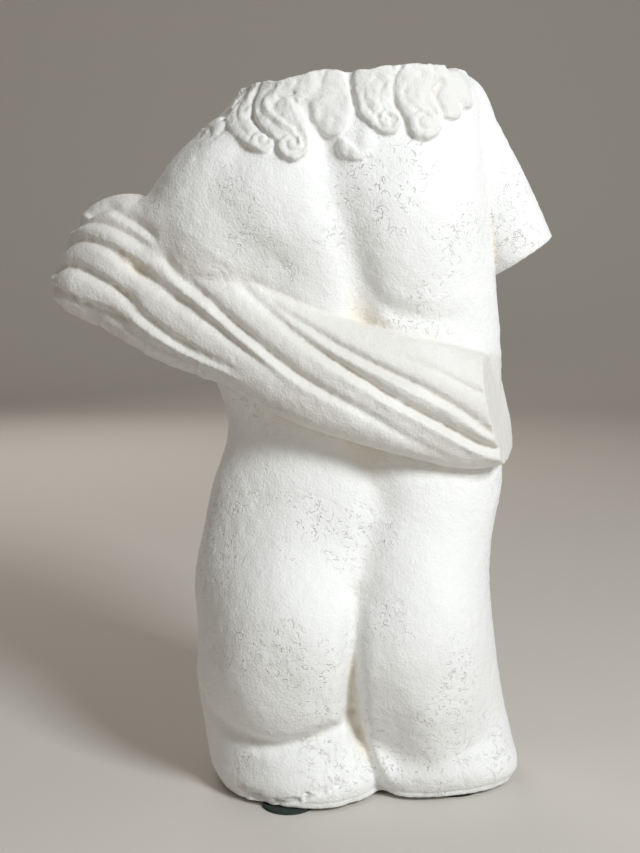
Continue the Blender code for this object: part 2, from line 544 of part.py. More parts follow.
def hair_grid():
    """A shell over the trunk's back: its surface raised along its own normals by the hair's
    height, and closed by the same outlines drawn in towards the middle."""
    turn = np.linspace(np.pi, 2 * np.pi, HAIR_COLUMNS)
    turn, z = np.meshgrid(turn, np.linspace(HAIR_LOW, HAIR_HIGH, HAIR_ROWS))
    middle, half, _, _ = (part[:, None] for part in trunk_sizes(z[:, 0]))
    x = middle + half * rounded(np.cos(turn), np.sin(turn), TRUNK_SQUARENESS)[0]
    skin = np.stack([x, back_of_trunk(x, z), z], axis=-1)
    facing = np.cross(np.gradient(skin, axis=1), np.gradient(skin, axis=0))
    facing /= np.linalg.norm(facing, axis=-1, keepdims=True)
    height = hair_height(x, z)
    height -= SUNK * (1 - eased(height, 0, 0.0008))
    inner = skin[:, ::-4].copy()
    inner[..., 0] = middle + (inner[..., 0] - middle) * 0.85
    inner[..., 1] = SIDE_LINE_Y + (inner[..., 1] - SIDE_LINE_Y) * 0.7
    return np.concatenate([skin + height[..., None] * facing, inner], axis=1)


def ball_grid(centre, reach):
    """An upright ball, stretched to its reach in x, y and z."""
    tilt = np.linspace(0.02, np.pi - 0.02, 14)[:, None]
    turn = np.linspace(0, 2 * np.pi, 20, endpoint=False)[None, :]
    ball = [np.sin(tilt) * np.cos(turn), np.sin(tilt) * np.sin(turn), np.cos(tilt) + 0 * turn]
    return centre + reach * np.stack(ball, axis=-1)


def mesh_from_grids(name, grids):
    """One mesh of closed surfaces: the rows of each grid are rings, and both ends are capped."""
    points, faces, first = [], [], 0
    for grid in grids:
        rows, around, _ = grid.shape
        index = first + np.arange(rows * around).reshape(rows, around)
        beside = np.roll(index, -1, axis=1)
        sides = np.stack([index[:-1], beside[:-1], beside[1:], index[1:]], axis=-1)
        faces += sides.reshape(-1, 4).tolist()
        faces += [index[0, ::-1].tolist(), index[-1].tolist()]
        points.append(grid.reshape(-1, 3))
        first += rows * around
    mesh = bpy.data.meshes.new(name)
    mesh.from_pydata(np.concatenate(points).tolist(), [], faces)
    mesh.update()
    return mesh


def add_object(name, mesh, collection):
    piece = bpy.data.objects.new(name, mesh)
    collection.objects.link(piece)
    return piece


def settle(piece):
    """Makes the result of the piece's modifiers its mesh, and takes them off."""
    bpy.context.view_layer.update()
    result = piece.evaluated_get(bpy.context.evaluated_depsgraph_get())
    mesh = bpy.data.meshes.new_from_object(result)
    piece.modifiers.clear()
    piece.data = mesh


def sand(mesh, centre, radius, passes, drapery_kept):
    """Points in a ball moved half way to the mean of their neighbours, once in each pass. The share
    falls to nothing at the edge of the ball, and at the drapery where that is kept."""
    points = np.array([vertex.co for vertex in mesh.vertices])
    ends = np.array([edge.vertices for edge in mesh.edges])
    share = 1 - eased(np.linalg.norm(points - centre, axis=1), 0.55 * radius, radius)
    path, _, _ = smooth_path([(*station[0], station[1]) for station in DRAPE], ALONG)
    x, _, middle, half_width = path[ALONG // 2 :].T
    over = points[:, 2] - np.interp(points[:, 0], x, middle + half_width)
    share = (share * (eased(over, 0, 0.012) if drapery_kept else 1))[:, None] / 2
    count = np.bincount(ends.ravel(), minlength=len(points))[:, None]
    for _ in range(passes):
        total = np.zeros(points.shape)
        np.add.at(total, ends[:, 0], points[ends[:, 1]])
        np.add.at(total, ends[:, 1], points[ends[:, 0]])
        points += share * (total / count - points)
    mesh.vertices.foreach_set("co", points.ravel())
    mesh.update()


def carve_bend(mesh):
    """The folds over the bend of the cloth: points moved in along their normals, by the depth of
    each fold times a bell curve of the distance from its line, up to where the line ends."""
    points = np.array([vertex.co for vertex in mesh.vertices])
    facing = np.array([vertex.normal for vertex in mesh.vertices])
    sunk = np.zeros(len(points))
    for depth, half_width, line in BEND_FOLDS.values():
        gap, way = along_line(points[:, 0], points[:, 2], smooth_path(line, 4 * len(line))[0])
        here = depth * eased(1 - way, 0, 0.25) * np.exp(-((gap / half_width) ** 1.6))
        sunk = np.maximum(sunk, here)
    sunk *= eased(-facing[:, 1], -0.6, 0)
    points -= sunk[:, None] * facing
    mesh.vertices.foreach_set("co", points.ravel())
    mesh.update()


def cut_away(piece, cutter):
    cut = piece.modifiers.new(cutter.name, "BOOLEAN")
    cut.operation = "DIFFERENCE"
    cut.solver = "EXACT"
    cut.object = cutter


def floor_cutter(collection):
    """A block that takes away everything below the sole."""
    bpy.ops.mesh.primitive_cube_add(size=1, location=(0, 0, SOLE - 0.05))
    cutter = bpy.context.object
    cutter.name = "floor cutter"
    cutter.scale = (0.8, 0.6, 0.1)
    return as_cutter(cutter, collection)


def break_height(x, y):
    """Height of the break: it falls to the left and towards the front, with uneven ripples."""
    level = BREAK_SLOPE * np.minimum(x - BREAK_PEAK_X, 0)
    level -= BREAK_FALL_LEFT * np.minimum(x - BREAK_LEFT_X, 0) ** 2
    level += BREAK_RISE_RIGHT * np.maximum(x - BREAK_PEAK_X, 0) ** 2 - BREAK_LEAN * (y + 0.06)
    ripple = np.zeros(np.shape(x))
    for number in range(5):
        turn = 2.4 * number
        wave = 70 + 45 * number
        ripple += np.sin(wave * (x * np.cos(turn) + y * np.sin(turn)) + number) / (1 + 0.4 * number)
    return BREAK_TOP + level + BREAK_RIPPLE * ripple


def break_cutter(collection):
    """A block with an uneven underside that breaks the work off above."""
    bpy.ops.mesh.primitive_grid_add(x_subdivisions=28, y_subdivisions=20, size=1)
    cutter = bpy.context.object
    cutter.name = "break cutter"
    for vertex in cutter.data.vertices:
        x, y = 0.05 + 0.34 * vertex.co.x, 0.30 * vertex.co.y
        vertex.co = (x, y, break_height(x, y))
    shape = bmesh.new()
    shape.from_mesh(cutter.data)
    grown = bmesh.ops.extrude_face_region(shape, geom=shape.faces[:])["geom"]
    for vertex in (part for part in grown if isinstance(part, bmesh.types.BMVert)):
        vertex.co.z = BREAK_TOP + BREAK_CUTTER_HEIGHT
    bmesh.ops.recalc_face_normals(shape, faces=shape.faces[:])
    shape.to_mesh(cutter.data)
    shape.free()
    return as_cutter(cutter, collection)


def as_cutter(cutter, collection):
    for holder in list(cutter.users_collection):
        holder.objects.unlink(cutter)
    collection.objects.link(cutter)
    cutter.hide_render = True
    cutter.display_type = "WIRE"
    return cutter


def material(name, colour, roughness):
    """A plain finish: one colour and one roughness, not metal."""
    finish = bpy.data.materials.new(name)
    finish.use_nodes = True
    shader = finish.node_tree.nodes["Principled BSDF"]
    shader.inputs["Base Color"].default_value = (*colour, 1)
    shader.inputs["Roughness"].default_value = roughness
    shader.inputs["Metallic"].default_value = 0.0
    return finish


def make_torso(collection, cutters):
    """The cast: every form fused into one skin, thinned to few faces, then cut below and above."""
    grids = [trunk_grid(), arm_grid(RIGHT_ARM, RIGHT_ARM_CUT), arm_grid(LEFT_ARM), arm_grid(LEFT_FLANK)]
    grids += [drape_grid(), hair_grid()]
    grids += [ball_grid(*lump) for lump in GATHERED.values()]
    torso = add_object("torso", mesh_from_grids("torso", grids), collection)
    fuse = torso.modifiers.new("fuse", "REMESH")
    fuse.mode = "VOXEL"
    fuse.voxel_size = VOXEL
    settle(torso)
    for place in SANDED.values():
        sand(torso.data, *place)
    carve_bend(torso.data)
    thin = torso.modifiers.new("thin", "DECIMATE")
    thin.ratio = TRIANGLES / (2 * len(torso.data.polygons))
    settle(torso)
    cut_away(torso, floor_cutter(cutters))
    cut_away(torso, break_cutter(cutters))
    settle(torso)
    torso.data.shade_smooth()
    torso.data.set_sharp_from_angle(angle=np.radians(50))
    torso.data.materials.clear()
    torso.data.materials.append(material("Plaster", (0.86, 0.85, 0.81), 0.8))
    return torso


PADS = {
    "pad_rear_left": (-0.013, -0.074),
    "pad_rear_right": (0.145, -0.033),
    "pad_front_left": (-0.035, 0.045),
    "pad_front_right": (0.150, 0.045),
}


def make_pad(name, place, finish, collection):
    """One round pad, flat on the ground, just clear of the sole."""
    bpy.ops.mesh.primitive_cylinder_add(
        vertices=48, radius=PAD_DIAMETER / 2, depth=PAD_THICKNESS, location=(*place, PAD_THICKNESS / 2)
    )
    pad = bpy.context.object
    pad.name = name
    for holder in list(pad.users_collection):
        holder.objects.unlink(pad)
    collection.objects.link(pad)
    pad.data.materials.append(finish)


def centre_over_origin(pieces, torso):
    """Moves every piece so that the middle of the cast's box stands over the origin."""
    corners = np.array([vertex.co for vertex in torso.data.vertices])
    middle = (corners.min(axis=0) + corners.max(axis=0)) / 2
    for piece in pieces:
        piece.location.x -= middle[0]
        piece.location.y -= middle[1]


def main():
    for old in list(bpy.data.objects):
        bpy.data.objects.remove(old)
    collection = bpy.data.collections.new(COLLECTION)
    cutters = bpy.data.collections.new(CUTTERS)
    for made in (collection, cutters):
        bpy.context.scene.collection.children.link(made)
    torso = make_torso(collection, cutters)
    felt = material("Dark pad", (0.02, 0.03, 0.025), 0.9)
    for name, place in PADS.items():
        make_pad(name, place, felt, collection)
    centre_over_origin(collection.objects, torso)


main()
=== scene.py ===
# %% [markdown]
# # A plaster torso
#
# The work is one cast of white plaster, made after a broken classical marble: a back seen from the
# neck to the top of the thighs, with curls over the shoulders, one arm broken off and the other
# wrapped in a cloak that crosses the loins. A cast is a single skin, so every form here ends up in
# one mesh. It is built in the order a sculptor works: the large masses, the drapery and the hair,
# then the marks of the tools, and at last the colour and the tooth of the plaster.
#
# The frame holds the same work as a plain faceted solid. It gives the size and the place of
# everything, so it is loaded first, and the box round it is kept.

import bpy
import numpy as np
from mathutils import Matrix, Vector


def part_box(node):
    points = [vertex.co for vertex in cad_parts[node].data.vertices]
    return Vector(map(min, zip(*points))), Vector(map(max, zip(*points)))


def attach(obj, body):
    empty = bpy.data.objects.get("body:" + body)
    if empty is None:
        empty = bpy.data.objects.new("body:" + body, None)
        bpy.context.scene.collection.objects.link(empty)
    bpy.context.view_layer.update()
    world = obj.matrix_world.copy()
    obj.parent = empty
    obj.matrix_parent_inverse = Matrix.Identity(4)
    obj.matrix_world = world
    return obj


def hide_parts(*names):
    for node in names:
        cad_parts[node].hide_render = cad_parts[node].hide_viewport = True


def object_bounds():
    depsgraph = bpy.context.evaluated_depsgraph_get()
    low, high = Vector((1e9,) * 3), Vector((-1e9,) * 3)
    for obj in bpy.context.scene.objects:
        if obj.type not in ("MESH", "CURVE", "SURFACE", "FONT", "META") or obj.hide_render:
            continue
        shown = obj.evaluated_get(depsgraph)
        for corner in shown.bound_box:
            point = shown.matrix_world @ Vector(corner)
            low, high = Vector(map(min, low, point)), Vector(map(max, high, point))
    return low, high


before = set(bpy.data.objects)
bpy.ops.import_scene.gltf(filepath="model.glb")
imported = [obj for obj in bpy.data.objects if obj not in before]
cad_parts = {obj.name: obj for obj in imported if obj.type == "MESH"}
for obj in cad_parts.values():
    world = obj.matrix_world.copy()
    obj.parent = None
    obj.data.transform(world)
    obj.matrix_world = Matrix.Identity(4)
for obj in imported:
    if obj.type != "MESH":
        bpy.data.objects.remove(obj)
cad_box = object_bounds()

PAD_PLACE = (-0.013, -0.074)  # middle of the left rear pad, in the sculptor's own coordinates
pad_low, pad_high = (np.array(corner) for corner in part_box("pad_rear_left"))
SHIFT = np.append((pad_low + pad_high)[:2] / 2 - PAD_PLACE, 0.0)
print("box of the frame:", [tuple(round(side, 4) for side in corner) for corner in cad_box])
print("the sculptor's coordinates are moved by", SHIFT.round(5))

# %% [markdown]
# ## Smooth curves through a few stations
#
# A body has no straight lines, and it has few real corners. Sizes are therefore given at a few
# heights, as on a sculptor's callipers, and a smooth curve is carried through them. Cubic pieces
# that share their slopes (Hermite curves) are enough, and they work on whole arrays at once.

# %% Curves, easing and rounded squares
def flowing(at, stops, values):
    """Values on one smooth curve through the stops: a cubic in each piece, with
    value = h00*v0 + h10*step*slope0 + h01*v1 + h11*step*slope1 and centred slopes."""
    stops, values = np.asarray(stops, float), np.asarray(values, float)
    slopes = np.gradient(values, stops, axis=0)
    at = np.clip(at, stops[0], stops[-1])
    piece = np.clip(np.searchsorted(stops, at, side="right") - 1, 0, len(stops) - 2)
    step = stops[piece + 1] - stops[piece]
    share = (at - stops[piece]) / step
    if values.ndim > 1:
        step, share = step[..., None], share[..., None]
    return (
        (2 * share**3 - 3 * share**2 + 1) * values[piece]
        + (share**3 - 2 * share**2 + share) * step * slopes[piece]
        + (3 * share**2 - 2 * share**3) * values[piece + 1]
        + (share**3 - share**2) * step * slopes[piece + 1]
    )


def smooth_path(points, count):
    """Evenly spread points on a smooth curve through these, the distance to each, and the stops'."""
    points = np.asarray(points, float)
    steps = np.linalg.norm(np.diff(points, axis=0), axis=1)
    stops = np.concatenate([[0.0], np.cumsum(steps)])
    at = np.linspace(0, stops[-1], count)
    return flowing(at, stops, points), at, stops


def eased(value, low, high):
    """0 up to low, 1 from high, and 3s^2 - 2s^3 between them, where s is the share of the way."""
    share = np.clip((value - low) / (high - low), 0, 1)
    return share * share * (3 - 2 * share)


def circle(count):
    """Cosines and sines of angles spread evenly round a circle."""
    turn = np.linspace(0, 2 * np.pi, count, endpoint=False)
    return np.cos(turn), np.sin(turn)


def rounded(cosine, sine, square):
    """A point on a superellipse |x|^square + |y|^square = 1, from a point on the circle."""
    power = 2 / square
    return np.sign(cosine) * np.abs(cosine) ** power, np.sign(sine) * np.abs(sine) ** power


def unit(vectors):
    """Vectors divided by their own lengths."""
    return vectors / np.linalg.norm(vectors, axis=-1, keepdims=True)


print("half way on a smooth step:", float(eased(0.5, 0, 1)))

# %% [markdown]
# ## The trunk
#
# The trunk is a stack of rounded-square outlines. Four sizes at each height place it: how far it
# reaches to the left and to the right, and how deep it is behind and in front of the side line.
# Another way would be to push a subdivided cube about by hand, but then no size would be known.

# %% Sizes of the trunk
# Height, then how far it reaches to the left and to the right, and how deep it is behind and in front
TRUNK = {
    "below the sole": (-0.030, -0.076, 0.196, 0.076, 0.078),
    "sole": (0.003, -0.083, 0.204, 0.085, 0.084),
    "sole edge": (0.016, -0.090, 0.211, 0.087, 0.087),
    "thigh stubs": (0.035, -0.094, 0.207, 0.083, 0.087),
    "under the fold": (0.058, -0.097, 0.201, 0.078, 0.085),
    "seat": (0.100, -0.103, 0.192, 0.082, 0.084),
    "buttocks": (0.150, -0.102, 0.185, 0.090, 0.086),
    "hips": (0.205, -0.104, 0.180, 0.090, 0.090),
    "flanks": (0.250, -0.095, 0.183, 0.083, 0.090),
    "loins": (0.290, -0.087, 0.190, 0.076, 0.087),
    "waist": (0.345, -0.071, 0.189, 0.072, 0.084),
    "lower ribs": (0.410, -0.087, 0.188, 0.080, 0.090),
    "ribs": (0.480, -0.094, 0.182, 0.088, 0.100),
    "chest": (0.540, -0.106, 0.175, 0.094, 0.104),
    "shoulder blades": (0.580, -0.110, 0.172, 0.092, 0.100),
    "shoulders": (0.615, -0.096, 0.168, 0.084, 0.082),
    "collar": (0.645, -0.068, 0.166, 0.074, 0.064),
    "neck": (0.700, -0.048, 0.136, 0.062, 0.044),
}
TRUNK_TABLE = np.array(list(TRUNK.values()))
TRUNK_SQUARENESS = 2.5
SIDE_LINE_Y = 0.004


def trunk_sizes(z):
    """Middle, half width, back depth and front depth of the plain trunk at a height."""
    left, right, back, front = flowing(z, TRUNK_TABLE[:, 0], TRUNK_TABLE[:, 1:]).T
    return (left + right) / 2, (right - left) / 2, back, front


print("width at the waist:", round(float(2 * trunk_sizes(TRUNK["waist"][0])[1]), 3), "m")

# %% [markdown]
# ## Muscles and furrows
#
# Over the plain trunk lie rounded masses, such as the shoulder blades and the buttocks, and
# furrows, such as the spine. Each mass is a soft bell, and each furrow is a valley whose depth
# changes along its route. They move the surface straight back or straight forward. Adding bells and
# valleys keeps every form smooth, where sculpting brushes would leave it to the hand.

# %% Masses and furrows
# Masses: middle x and z, reach in x and in z, height, fullness (a fuller one has a flatter top)
BACK_MASSES = {
    "left shoulder blade": (-0.018, 0.545, 0.066, 0.066, 0.009, 1.1),
    "left shoulder": (-0.080, 0.545, 0.050, 0.056, 0.014, 1.1),
    "right shoulder blade": (0.106, 0.540, 0.052, 0.080, 0.013, 1.3),
    "left buttock": (-0.023, 0.142, 0.071, 0.094, 0.033, 1.9),
    "right buttock": (0.118, 0.138, 0.064, 0.095, 0.027, 1.7),
    "left loin": (-0.008, 0.290, 0.042, 0.055, 0.005, 1.0),
    "right loin": (0.122, 0.290, 0.040, 0.055, 0.005, 1.0),
    "left thigh stub": (-0.008, 0.012, 0.074, 0.034, 0.016, 1.4),
    "right thigh stub": (0.135, 0.022, 0.062, 0.030, 0.004, 1.0),
    "right of the cleft": (0.084, 0.045, 0.030, 0.055, -0.012, 1.0),
    "below the patch": (0.022, 0.598, 0.009, 0.014, -0.005, 1.0),
    "between the soles": (0.078, 0.000, 0.014, 0.016, -0.009, 1.0),
    "end of the left sole": (0.056, 0.000, 0.020, 0.020, -0.007, 1.0),
    "right of the sole": (0.132, 0.000, 0.078, 0.030, -0.012, 1.2),
}
FRONT_MASSES = {
    "left of the chest": (-0.020, 0.548, 0.058, 0.044, 0.009, 1.5),
    "right of the chest": (0.112, 0.550, 0.056, 0.044, 0.009, 1.5),
    "belly": (0.056, 0.295, 0.075, 0.080, 0.009, 1.2),
    "navel": (0.056, 0.338, 0.008, 0.010, -0.006, 1.0),
    "groin": (0.060, 0.168, 0.028, 0.028, 0.005, 1.2),
    "left thigh": (-0.018, 0.085, 0.066, 0.090, 0.009, 1.3),
    "right thigh": (0.138, 0.085, 0.060, 0.090, 0.007, 1.3),
}
# Furrows: half width, depth where each starts and ends, points (x, z) that it runs through
BACK_FURROWS = {
    "spine between the ribs": (
        0.017, 0.004, 0.013, [(0.016, 0.612), (0.030, 0.557), (0.050, 0.488), (0.056, 0.430)]
    ),
    "spine at the loins": (0.018, 0.011, 0.007, [(0.056, 0.430), (0.059, 0.330), (0.069, 0.285)]),
    "above the cleft": (0.015, 0.003, 0.010, [(0.072, 0.290), (0.063, 0.250), (0.050, 0.205)]),
    "cleft": (0.010, 0.010, 0.028, [(0.050, 0.205), (0.046, 0.150), (0.046, 0.085)]),
    "between the thighs": (0.009, 0.028, 0.010, [(0.046, 0.085), (0.058, 0.046), (0.079, -0.010)]),
    "left shoulder blade": (0.013, 0.001, 0.004, [(-0.078, 0.560), (-0.052, 0.527), (-0.022, 0.501)]),
    "under the right ribs": (
        0.009, 0.007, 0.002, [(0.056, 0.484), (0.072, 0.464), (0.104, 0.454), (0.140, 0.452)]
    ),
    "under the left buttock": (
        0.009, 0.010, 0.013, [(-0.100, 0.092), (-0.070, 0.068), (-0.030, 0.060), (0.038, 0.076)]
    ),
    "under the right buttock": (
        0.013, 0.007, 0.003, [(0.056, 0.060), (0.086, 0.044), (0.124, 0.040), (0.165, 0.052)]
    ),
}
FRONT_FURROWS = {
    "middle of the chest": (
        0.012, 0.005, 0.004, [(0.040, 0.590), (0.046, 0.520), (0.050, 0.440), (0.055, 0.360)]
    ),
    "arch of the ribs": (
        0.012, 0.003, 0.003,
        [(-0.062, 0.420), (-0.030, 0.468), (0.046, 0.494), (0.118, 0.470), (0.152, 0.425)],
    ),
    "left groin": (0.012, 0.004, 0.006, [(-0.098, 0.280), (-0.060, 0.246), (0.000, 0.200), (0.044, 0.160)]),
    "right groin": (0.012, 0.004, 0.006, [(0.182, 0.290), (0.152, 0.250), (0.110, 0.205), (0.074, 0.160)]),
    "between the thighs": (0.015, 0.006, 0.022, [(0.059, 0.150), (0.061, 0.080), (0.066, -0.010)]),
}
CARVED_FROM = 0.75  # share of the depth at which the carving is at its full height
ROUTE_DETAIL = 4  # points on a furrow's smooth route for each one that is given


def smooth_route(points):
    """The smooth line (x, z) that a furrow takes through its points."""
    return smooth_path(points, ROUTE_DETAIL * len(points))[0]


def along_line(x, z, points):
    """Distance from each place (x, z) to the line through the points, and the share of the way:
    the nearest of the distances to its straight pieces."""
    nearest, way = np.full(np.shape(x), np.inf), np.zeros(np.shape(x))
    for number, ((x0, z0), (x1, z1)) in enumerate(zip(points[:-1], points[1:])):
        run_x, run_z = x1 - x0, z1 - z0
        share = np.clip(((x - x0) * run_x + (z - z0) * run_z) / (run_x**2 + run_z**2), 0, 1)
        distance = np.hypot(x - x0 - share * run_x, z - z0 - share * run_z)
        way = np.where(distance < nearest, (number + share) / (len(points) - 1), way)
        nearest = np.minimum(nearest, distance)
    return nearest, way


def carving(x, z, masses, furrows):
    """How far a side stands out of the plain trunk: the sum of rise * exp(-spread^fullness) over
    the masses, less the cube root of the furrows' summed cubes, so crossings get no deeper."""
    height = np.zeros(np.shape(x))
    for middle_x, middle_z, reach_x, reach_z, rise, fullness in masses.values():
        spread = ((x - middle_x) / reach_x) ** 2 + ((z - middle_z) / reach_z) ** 2
        height += rise * np.exp(-(spread**fullness))
    cubes = np.zeros(np.shape(x))
    for half_width, first, last, points in furrows.values():
        distance, way = along_line(x, z, smooth_route(points))
        cubes += ((first + (last - first) * way) * np.exp(-((distance / half_width) ** 2))) ** 3
    return height - np.cbrt(cubes)


foot_of_cleft = BACK_FURROWS["between the thighs"][-1][1]
deepest = carving(*foot_of_cleft, BACK_MASSES, BACK_FURROWS)
print("the back's carving at the foot of the cleft:", round(float(deepest), 4))

# %% The trunk as one grid
TRUNK_AROUND, TRUNK_UP = 460, 500


def trunk_grid():
    """Rounded-square outlines stacked up, with the carving pushed out of the back and the front."""
    heights = np.linspace(TRUNK_TABLE[0, 0], TRUNK_TABLE[-1, 0], TRUNK_UP)
    middle, half, back, front = (part[:, None] for part in trunk_sizes(heights))
    across, deep = rounded(*circle(TRUNK_AROUND), TRUNK_SQUARENESS)
    x = middle + half * across
    z = np.broadcast_to(heights[:, None], x.shape)
    y = SIDE_LINE_Y + np.where(deep < 0, back, front) * deep
    y -= carving(x, z, BACK_MASSES, BACK_FURROWS) * eased(-deep, 0, CARVED_FROM)
    y += carving(x, z, FRONT_MASSES, FRONT_FURROWS) * eased(deep, 0, CARVED_FROM)
    return np.stack([x, y, z], axis=-1)


def back_of_trunk(x, z):
    """The y of the carved back at a place (x, z): the same sum as in the grid."""
    middle, half, back, _ = trunk_sizes(np.asarray(z, float).ravel())
    middle, half, back = (part.reshape(np.shape(z)) for part in (middle, half, back))
    share = np.clip(np.abs((x - middle) / half), 0, 1)
    plain = (1 - share**TRUNK_SQUARENESS) ** (1 / TRUNK_SQUARENESS)
    raised = carving(x, z, BACK_MASSES, BACK_FURROWS)
    return SIDE_LINE_Y - back * plain - raised * eased(plain, 0, CARVED_FROM)


grids = {"trunk": trunk_grid()}
print("points in the trunk:", grids["trunk"].shape[:2])

# %% [markdown]
# ## The arms
#
# The right arm is a stump, cut off flat under the armpit. The left one goes down and back into the
# cloak. Each is a rounded section carried along a curved path, and past the cutting plane the points
# slide back along the arm onto it. A third, shorter run of sections is the muscle between the left
# arm and the back, and two lumps fill the bend of the cloth at the elbow, where the path turns so
# tightly that its sections would leave a hollow.

# %% Sections along a path
LEAST_SLOPE = 0.2  # least share of a step along the path that counts as one towards the plane


def sections(stations, count):
    """A smooth path down the middle of a limb, the distance, half width and half depth along it."""
    path, at, stops = smooth_path([station[0] for station in stations], count)
    half, deep = flowing(at, stops, [station[1:] for station in stations]).T
    return path, at, half, deep


def path_frames(path, up):
    """Directions along, across and out of a path; across is as near to up as it can be."""
    along = unit(np.gradient(path, axis=0))
    out = unit(np.cross(along, up))
    return along, np.cross(out, along), out


def tube(path, reach, way, second_reach, second_way):
    """Rings round a path: path + reach * way + second reach * second way, a ring to each point."""
    return path[:, None] + reach[..., None] * way[:, None] + second_reach[..., None] * second_way[:, None]


def cut_by(grid, along, plane):
    """Points past a plane (a point on it, and the way it faces) slid back along the path onto it."""
    point, facing = (np.asarray(part, float) for part in plane)
    past = np.clip((grid - point) @ facing, 0, None)
    slope = np.clip(along @ facing, LEAST_SLOPE, None)
    return grid - (past / slope[:, None])[..., None] * along[:, None, :]


print("cosines and sines of a quarter turn each:", np.round(circle(4), 3).tolist())

# %% Arms
# Points (x, y, z) down the middle, then half width and half depth at each
RIGHT_ARM = [
    ((0.096, 0.010, 0.666), 0.014, 0.028),
    ((0.112, 0.010, 0.654), 0.035, 0.040),
    ((0.128, 0.012, 0.638), 0.0455, 0.046),
    ((0.146, 0.016, 0.612), 0.042, 0.048),
    ((0.179, 0.020, 0.560), 0.038, 0.043),
    ((0.2105, 0.022, 0.503), 0.034, 0.039),
    ((0.231, 0.024, 0.460), 0.032, 0.037),
]
RIGHT_ARM_CUT = ((0.235, 0.022, 0.5247), (0.560, 0.000, -0.828))  # a point on it, the way it faces
LEFT_ARM = [
    ((-0.010, -0.010, 0.608), 0.044, 0.062),
    ((-0.068, -0.015, 0.575), 0.050, 0.068),
    ((-0.118, -0.006, 0.522), 0.048, 0.060),
    ((-0.168, 0.006, 0.506), 0.044, 0.047),
]
LEFT_FLANK = [
    ((-0.062, -0.014, 0.592), 0.030, 0.038),
    ((-0.066, -0.021, 0.556), 0.062, 0.060),
    ((-0.070, -0.024, 0.515), 0.066, 0.063),
    ((-0.074, -0.020, 0.450), 0.040, 0.040),
]
ARM_SQUARENESS = 2.2
ARM_AROUND, ARM_ALONG = 200, 260
TO_THE_BACK = np.array([0.0, -1.0, 0.0])
# The lumps: middle, then reach in x, y and z
GATHERED = {
    "under the elbow": ((-0.161, -0.022, 0.481), (0.036, 0.042, 0.050)),
    "over the elbow": ((-0.148, 0.031, 0.516), (0.042, 0.038, 0.042)),
}
LUMP_RINGS, LUMP_AROUND, LUMP_TIP = 60, 90, 0.02  # the tip is the angle left open at each pole


def arm_grid(stations, plane=None):
    """Superellipse sections along a smooth path, cut off flat where it ends in a plane."""
    path, _, half, deep = sections(stations, ARM_ALONG)
    along, across, out = path_frames(path, TO_THE_BACK)
    width, depth = rounded(*circle(ARM_AROUND), ARM_SQUARENESS)
    grid = tube(path, half[:, None] * width, out, deep[:, None] * depth, across)
    return cut_by(grid, along, plane) if plane else grid


def lump_grid(centre, reach):
    """An upright ball, stretched to its reach in x, y and z: latitude by longitude."""
    tilt = np.linspace(LUMP_TIP, np.pi - LUMP_TIP, LUMP_RINGS)[:, None]
    cosine, sine = circle(LUMP_AROUND)
    ball = [np.sin(tilt) * cosine, np.sin(tilt) * sine, np.cos(tilt) + 0 * cosine]
    return centre + reach * np.stack(ball, axis=-1)


grids["right arm"] = arm_grid(RIGHT_ARM, RIGHT_ARM_CUT)
grids["left arm"] = arm_grid(LEFT_ARM)
grids["left flank"] = arm_grid(LEFT_FLANK)
for name, lump in GATHERED.items():
    grids[name] = lump_grid(*lump)
print("lowest point of the right arm's cut:", round(float(grids["right arm"][..., 2].min()), 3))

# %% [markdown]
# ## The drapery
#
# A broad band of cloth wraps the left arm and runs down across the back to the right hip, where the
# cast ends it with a flat cut. The band is a section carried along a path, squarer at its hem. The
# folds are valleys that start near one edge and slant across to the other, so each is given in the
# band's own terms: how far along it runs and where it lies across. Cloth simulation would fold it
# too, but never in the places where the sculptor put the folds.

# %% The band of cloth
# Points (x, y, z) down the middle, then half width and half depth at each
DRAPE = [
    ((-0.060, 0.050, 0.545), 0.030, 0.020),
    ((-0.098, 0.054, 0.532), 0.036, 0.028),
    ((-0.138, 0.056, 0.512), 0.041, 0.033),
    ((-0.172, 0.046, 0.498), 0.042, 0.036),
    ((-0.190, 0.024, 0.488), 0.043, 0.040),
    ((-0.187, 0.000, 0.494), 0.054, 0.045),
    ((-0.168, -0.010, 0.501), 0.064, 0.048),
    ((-0.140, -0.016, 0.488), 0.065, 0.051),
    ((-0.103, -0.030, 0.465), 0.061, 0.050),
    ((-0.070, -0.045, 0.449), 0.057, 0.047),
    ((-0.040, -0.058, 0.435), 0.052, 0.043),
    ((0.008, -0.070, 0.410), 0.052, 0.042),
    ((0.060, -0.075, 0.393), 0.052, 0.041),
    ((0.114, -0.068, 0.379), 0.053, 0.042),
    ((0.158, -0.049, 0.368), 0.052, 0.044),
    ((0.186, -0.038, 0.366), 0.047, 0.043),
    ((0.218, -0.028, 0.360), 0.040, 0.041),
]
DRAPE_LEAN = 28.0  # degrees that the width of the cloth leans over to the right
DRAPE_END = ((0.170, -0.080, 0.370), (0.940, -0.280, 0.180))  # a point on the cut, the way it faces
DRAPE_SQUARE_ABOVE = 2.1
DRAPE_SQUARE_BELOW = 3.0
DRAPE_START = -0.211  # x at which distance along the folds is nought
DRAPE_AROUND, DRAPE_ALONG = 320, 640


def drape_sections(count):
    """The cloth's sections, then the directions along, across and out of its path."""
    lean = np.radians(DRAPE_LEAN)
    path, at, half, deep = sections(DRAPE, count)
    return path, at, half, deep, path_frames(path, np.array([np.sin(lean), 0.0, np.cos(lean)]))


print("length of the cloth:", round(float(drape_sections(DRAPE_ALONG)[1][-1]), 3), "m")

